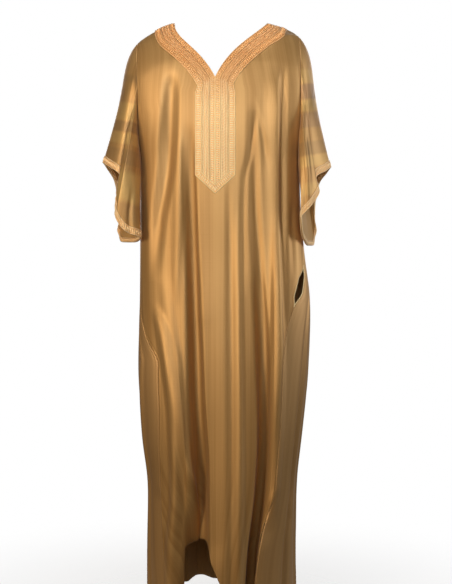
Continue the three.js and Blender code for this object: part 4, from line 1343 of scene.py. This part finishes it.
def neck_path(line, turns_the_point):
    """x, z and face of one line round the neck, from the left of the point to its right."""
    inset = PLASTRON["half"] - line if turns_the_point else BRAID["outer"]
    ends, rows = {}, {}
    for side, sign in SIDES.items():
        for face in FACES:
            steps = [*NECK_STEPS, NOTCH_ROW, *(NOTCH_STEPS if face == "front" else [])]
            rows[face, side] = np.array([neck_place(face, side, row, line) for row in steps])
        notch_z = neck_place("front", side, NOTCH_ROW + 1, line)[1]
        down = np.linspace(notch_z, point_height(line, inset), DOWN_STEPS)[1:]
        path = [(NOTCH_X + sign * line, z) for z in down]
        if turns_the_point and line > 0:
            offs = np.linspace(line, 0, POINT_STEPS)[1:]
            path += [(NOTCH_X + sign * off, point_height(off, inset)) for off in offs]
        ends[side] = np.array(path)
    left = np.concatenate([ends["left"][::-1], rows["front", "left"][::-1]])
    back = np.concatenate([rows["back", "left"][1:], rows["back", "right"][-2:0:-1]])
    right = np.concatenate([rows["front", "right"], ends["right"]])
    places = np.concatenate([left, back, right])
    on_back = np.zeros(len(places), bool)
    on_back[len(left) : len(left) + len(back)] = True
    return places, on_back


for line in BRAID_LINES:
    print("points of the line", line, "mm from the neck:", len(neck_path(line, True)[0]))


# %% Neck lines on the cloth
PROBE = 1.0  # how far beside a line a second one is drawn, to find the direction across


def on_cloth(places, on_back):
    """Points of the cloth at some places, each on the front or on the back."""
    x, z = places[:, 0], places[:, 1]
    front = on_body(angle_at(x, z, "front"), z)
    back = on_body(angle_at(x, z, "back"), z)
    return np.where(on_back[:, None], back, front)


def unit(vectors):
    return vectors / np.maximum(np.linalg.norm(vectors, axis=-1, keepdims=True), 1e-9)


def neck_grid(lines, turns_the_point=False):
    """Points of several neck lines, with their directions out of the cloth and across."""
    paths = [neck_path(line, turns_the_point) for line in lines]
    points = np.stack([on_cloth(*path) for path in paths], axis=1)
    probes = [neck_path(line + PROBE, turns_the_point) for line in lines]
    beside = np.stack([on_cloth(*path) for path in probes], axis=1)
    across = unit(beside - points)
    along = unit(np.gradient(points, axis=0))
    out = unit(np.cross(along, across))
    for _ in range(3):
        smooth = np.pad(out, ((1, 1), (0, 0), (0, 0)), mode="edge")
        out = unit(smooth[:-2] + 2 * smooth[1:-1] + smooth[2:])
    return points, out, unit(np.cross(out, along))


def raised(grid, column, height):
    """One line of a grid, raised above the cloth."""
    points, out, across = (part[:, column] for part in grid)
    return points + out * height, out, across


# %% [markdown]
# ## Braids
# Each ladder braid is a flat ground of thread with a row of rungs laid across it, between two
# twisted cords. The plain braid of the neck is three rows of slanted ribs. They could be painted
# on a strip, but raised threads catch the light one by one, so each rung, rib and cord is laid.
# The cuffs have one ladder braid each on the outside of the edge, and another on the inside.

# %% Ground of a braid
def tape(name, grid, low, high, material):
    """A flat band on a grid of points, from low to high above them."""
    points, out, _ = grid
    faces = np.cross(np.gradient(points, axis=0), np.gradient(points, axis=1))
    flip = float((faces * out).sum()) < 0
    uv = np.stack([lengths(points, 1), lengths(points, 0)], axis=-1) * MM
    sheet = Sheet().grid(points, uv, (low + high) / 2, flip)
    return shell(name, sheet, material, -(high - low) / 2, (high - low) / 2)


GROUND_INSET = 0.15  # the ground stops this far inside the edges of its braid


def ground_between(name, grid_at, inner, outer, columns, top):
    """The ground of a braid, from just above the cloth to its top."""
    lines = grid_at(np.linspace(inner + GROUND_INSET, outer - GROUND_INSET, columns))
    return tape(name + "_ground", lines, 0.5, top, ground_silk)


# %% Ladder braids and ribbed braids
CORD = {"Step": 1.3 * MM, "Pitch": 7 * MM, "Thick": 2.5 * MM, "Flat": 2.2 * MM, "Sides": 6}
CORD_INSET, CORD_RISE = 1.2, 1.7
RUNG_SPACING, RUNG_WIDE, RUNG_THICK, RUNG_RISE = 5.4 * MM, 3.3 * MM, 2.4 * MM, 1.5
RUNG_SHORTER = 5.0  # a rung is this much shorter than its braid is wide
RIB_SPACING, RIB_WIDE, RIB_THICK, RIB_RISE = 3.6 * MM, 2.9 * MM, 1.7 * MM, 1.35
RIB_OVERLAP = 0.8  # the rows of ribs reach into each other by this much
RIB_LEANS = (0.45, -0.45, 0.45)
ROUND_BEAD = {"Sides": 8, "Rings": 5}


def ladder(name, grid_at, inner, outer, thread=ladder_silk, cord=cord_silk):
    """A ladder braid between two lines: ground, rungs and cords. grid_at gives lines of points."""
    ground = ground_between(name, grid_at, inner, outer, 6, 1.3)
    middle = raised(grid_at([(inner + outer) / 2]), 0, RUNG_RISE)
    size = ((outer - inner - RUNG_SHORTER) * MM, RUNG_WIDE, RUNG_THICK)
    beads = {"Spacing": RUNG_SPACING, "Size": size, "Material": thread, **ROUND_BEAD}
    rungs = lay(name + "_rungs", BEADS, [middle], **beads)
    edges = grid_at([inner + CORD_INSET, outer - CORD_INSET])
    lines = [raised(edges, k, CORD_RISE) for k in (0, 1)]
    return [ground, rungs, lay(name + "_cords", CORDS, lines, Material=cord, **CORD)]


def ribbed(name, grid_at, inner, outer):
    """A plain braid between two lines: ground and slanted ribs, in rows that lean in turn."""
    ground = ground_between(name, grid_at, inner, outer, 7, 1.2)
    wide = (outer - inner) / len(RIB_LEANS)
    centres = grid_at([inner + wide * (k + 0.5) for k in range(len(RIB_LEANS))])
    rows = []
    for k, lean in enumerate(RIB_LEANS):
        points, out, across = raised(centres, k, RIB_RISE)
        rows.append((points, out, unit(across + lean * np.cross(out, across))))
    size = ((wide + RIB_OVERLAP) * MM, RIB_WIDE, RIB_THICK)
    beads = {"Spacing": RIB_SPACING, "Size": size, "Material": plain_silk, **ROUND_BEAD}
    return [ground, lay(name + "_ribs", BEADS, rows, **beads)]


# %% Braids of the neck
trims = {name: [] for name in ("front_panel", "left_sleeve", "right_sleeve")}


def sewn(pieces, slot, *nodes, on="front_panel"):
    """Pieces sewn on a cloth: they join its trims and are attached, and the frame's nodes, if any are
    named, are hidden.
    """
    trims[on] += pieces
    for piece in pieces:
        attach(piece, "root")
    if nodes:
        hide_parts(*nodes)


first, second, last = BRAID_LINES[1:]
pointed_grid = partial(neck_grid, turns_the_point=True)
sewn(ladder("neck_inner", neck_grid, 0, first), "ladder_braid", "neck_braid_inner")
sewn(ribbed("neck_middle", neck_grid, first, second), "plain_braid", "neck_braid_middle")
sewn(ladder("neck_outer", pointed_grid, second, last), "ladder_braid", "neck_braid_outer")

# %% [markdown]
# ## Lines beside an edge
# The braids of the cuffs, the rolled edges of the slits and every row of stitches lie at a fixed
# distance from an edge of the cloth. Lines drawn on the unfolded form would sink into the folds,
# so `beside` finds them on the folded cloth itself.

# %% Lines beside the edges
def folded_cloth(points, rise, flip, ring=False):
    """Middle of the folded cloth and its directions out, from a panel's grid and its relief."""
    faces = np.cross(np.gradient(points, axis=0), np.gradient(points, axis=1))
    if ring:
        faces[:, 0] = faces[:, -1] = faces[:, 0] + faces[:, -1]
    out = unit(faces) * (-1 if flip else 1)
    return points + out * rise[..., None], out


def beside(cloth, distances):
    """Lines at some distances from the last row of a grid, each with its out and across."""
    points, out = (part[::-1] for part in cloth)
    run = lengths(points, 0)
    reach = np.array([*distances, distances[-1] + PROBE])

    def column(part, k):
        return [np.interp(reach, run[:, k], part[:, k, axis]) for axis in range(3)]

    lines, outs = (
        np.stack([column(part, k) for k in range(run.shape[1])]).transpose(0, 2, 1)
        for part in (points, out)
    )
    return lines[:, :-1], unit(outs[:, :-1]), unit(np.diff(lines, axis=1))


def turned(cloth, backwards=False):
    """The same cloth with its last column as its last row, or its first column if backwards."""
    return tuple(part[:, :: -1 if backwards else 1].swapaxes(0, 1) for part in cloth)


# %% Edges of every cloth
cloths = {}
for side in SIDES:
    relief = sleeve_relief(side, *sleeves[side])
    cloths["cuff", side] = folded_cloth(sleeves[side][0], relief, side == "right", ring=True)
    for face in FACES:
        points = halves[face, side, "lower"]
        cloth = folded_cloth(points, panel_relief(face, points), panel_flips(face, side))
        cloths[face + "_hem", side] = cloth
        cloths[face + "_side", side] = turned(cloth)
    cloth = folded_cloth(gores[side], gore_relief(side, gores[side]), side == "left")
    cloths["gore_hem", side] = cloth
    cloths["gore_front", side] = turned(cloth, backwards=True)
print("edges:", ", ".join(" ".join(key) for key in cloths))

# %% Braids of the cuffs, which show on the inside of the edge too
CUFF_BRAID, INSIDE_BRAID = 18, 12  # their widths


def cuff_outside(side, lines):
    return beside(cloths["cuff", side], lines)


def cuff_inside(side, lines):
    points, out, across = cuff_outside(side, lines)
    return points, -out, across


for side in SIDES:
    silks = (cuff_silk, cuff_silk)
    cuff = ladder("cuff_" + side, partial(cuff_outside, side), 0, CUFF_BRAID, *silks)
    cuff += ladder("cuff_inside_" + side, partial(cuff_inside, side), 0, INSIDE_BRAID, *silks)
    sewn(cuff, "ladder_braid", "cuff_braid_" + side, on=side + "_sleeve")


# %% [markdown]
# ## Rolled edges and stitches
# The pocket's opening and the slits are rolled over a thin cord, and rows of stitches hold the
# side seams and the hems. A dark line in the satin would do from afar. Close by, each stitch is a
# short bead that lies in the dent of the cloth, so stitches are laid as the rungs are.

# %% Rolled edges and stitches
THIN = {"Step": 2 * MM, "Pitch": 9 * MM, "Thick": 1.7 * MM, "Flat": 1.3 * MM, "Sides": 6}
ROLLED = {"Step": 2 * MM, "Pitch": 9 * MM, "Thick": 2.6 * MM, "Flat": 1.9 * MM, "Sides": 6}
STITCH = {"Spacing": 4 * MM, "Size": (0.7 * MM, 2.8 * MM, 0.5 * MM), "Sides": 6, "Rings": 4}
ROLL_OFF, HEM_STITCH_OFF = 0.2, 12.0  # distances from the edge
POCKET = (-704, -602)  # lower and upper end of the pocket's opening
SEAMS_TOP = -345


def between(line, low, high):
    """The stretch of a line between two heights."""
    keep = (line[0][:, 2] >= low - 1) & (line[0][:, 2] <= high + 1)
    return tuple(part[keep] for part in line)


def lines_beside(keys, distance, height, low=-1500, high=0, sides=SIDES):
    """Stretches between two heights of the lines beside some edges."""
    return [
        between(raised(beside(cloths[key, side], [distance]), 0, height), low, high)
        for key in keys
        for side in sides
    ]


for key, node in (("front_side", "pocket_edge_front"), ("gore_front", "pocket_edge_gore")):
    lines = lines_beside([key], ROLL_OFF, 0.3, *POCKET, sides=["right"])
    sewn([lay(node + "_roll", CORDS, lines, Material=cord_silk, **ROLLED)], "edge_cord", node)
slit_edges = lines_beside(["front_side", "gore_front"], ROLL_OFF, 0.0, high=SLIT_TOP)
sewn([lay("slit_edges", CORDS, slit_edges, Material=stitch_silk, **THIN)], "edge_cord")
topstitches = [
    *lines_beside(["front_side", "back_side"], STITCH_OFF, 0.1, high=SEAMS_TOP),
    *lines_beside(["gore_front"], STITCH_OFF, 0.1, high=SLIT_TOP),
    *lines_beside(["front_hem", "back_hem", "gore_hem"], HEM_STITCH_OFF, 0.5),
]
sewn([lay("topstitches", BEADS, topstitches, Material=stitch_silk, **STITCH)], "edge_cord")

# %% [markdown]
# ## The cut of each cloth
# Each panel was cut flat before it was sewn.


# %% [markdown]
# ## Studio
# The robe hangs before white paper that is lit by itself, so hardly any light comes round it. A
# warm lamp at the front left draws the folds from the side. A wide one above the camera lights
# the chest and falls off toward the hem, and one from above lights the shoulders. Two lamps behind
# and one at the right keep the edges apart from the white. The floor only catches a faint shadow.

# %% Floor
FLOOR_Z, FLOOR_HALF = -1.46, 2
SPOT_FROM, SPOT_TO, SPOT_ALPHA = 0.2, 1.1, 0.3  # the shadow's spot fades out with distance
floor_mesh = bpy.data.meshes.new("floor")
corners = [(x * FLOOR_HALF, y * FLOOR_HALF, FLOOR_Z) for x, y in ((-1, -1), (1, -1), (1, 1), (-1, 1))]
floor_mesh.from_pydata(corners, [], [(0, 1, 2, 3)])
floor = bpy.data.objects.new("floor", floor_mesh)
bpy.context.scene.collection.objects.link(floor)
paper = Finish("floor_paper", Roughness=0.8)
place = paper.node("ShaderNodeTexCoord", output=3)
level = paper.node("ShaderNodeVectorMath", {"operation": "MULTIPLY"}, {0: place, 1: (1, 1, 0)})
spot = paper.node("ShaderNodeVectorMath", {"operation": "LENGTH"}, {0: level}, output=1)
faded = (1 - paper.smooth(spot, SPOT_FROM, SPOT_TO)) * SPOT_ALPHA
floor_mesh.materials.append(paper.feed(Base_Color=(0.92, 0.92, 0.92, 1), Alpha=faded))
print("floor:", 2 * FLOOR_HALF, "m wide, at", FLOOR_Z, "m")

# %% Lamps
def soft_light(name, place, aim, size, power, spread, color=(1, 1, 1)):
    """A wide lamp at a place, turned to its aim. A smaller spread keeps its light together."""
    light = bpy.data.lights.new(name, "AREA")
    light.shape = "RECTANGLE"
    light.size, light.size_y = size
    light.energy = power
    light.color = color
    light.spread = math.radians(spread)
    lamp = bpy.data.objects.new(name, light)
    lamp.location = place
    lamp.rotation_euler = (Vector(aim) - Vector(place)).to_track_quat("-Z", "Y").to_euler()
    bpy.context.scene.collection.objects.link(lamp)
    print(f"{name}: {power} W")


soft_light("key", (-1.9, -2.25, -0.22), (0, 0, -0.7), (0.7, 1.3), 5.6, 70, (1, 0.82, 0.60))
soft_light("front", (-0.1, -3.2, 0.2), (0.05, 0, 0.42), (2.4, 1.2), 8.4, 58)
soft_light("top", (0, -0.9, 2.0), (0, -0.05, 0), (1.6, 1.0), 7, 100)
soft_light("back_left", (-1.0, 3.2, 0.2), (0, 0, -0.5), (1.4, 1.6), 16, 110)
soft_light("back_right", (1.2, 3.0, 0.2), (0, 0, -0.5), (1.4, 1.6), 12, 110)
soft_light("right_side", (3.0, 0.0, 0.0), (0.1, 0, -0.6), (1.2, 1.8), 7, 80)

# %% White for the camera, and dim warm light for the robe
world = bpy.data.worlds.new("studio")
bpy.context.scene.world = world
world.use_nodes = True
nodes, links = world.node_tree.nodes, world.node_tree.links
ambient = nodes["Background"]
ambient.inputs["Color"].default_value = (1, 0.8, 0.58, 1)
ambient.inputs["Strength"].default_value = 0.05
white = nodes.new("ShaderNodeBackground")
white.inputs["Color"].default_value = (1, 1, 1, 1)
seen = nodes.new("ShaderNodeLightPath")
either = nodes.new("ShaderNodeMixShader")
links.new(seen.outputs["Is Camera Ray"], either.inputs[0])
links.new(ambient.outputs[0], either.inputs[1])
links.new(white.outputs[0], either.inputs[2])
links.new(either.outputs[0], nodes["World Output"].inputs["Surface"])
bpy.context.scene.view_settings.view_transform = "Standard"
print("light from all round:", round(ambient.inputs["Strength"].default_value, 3))
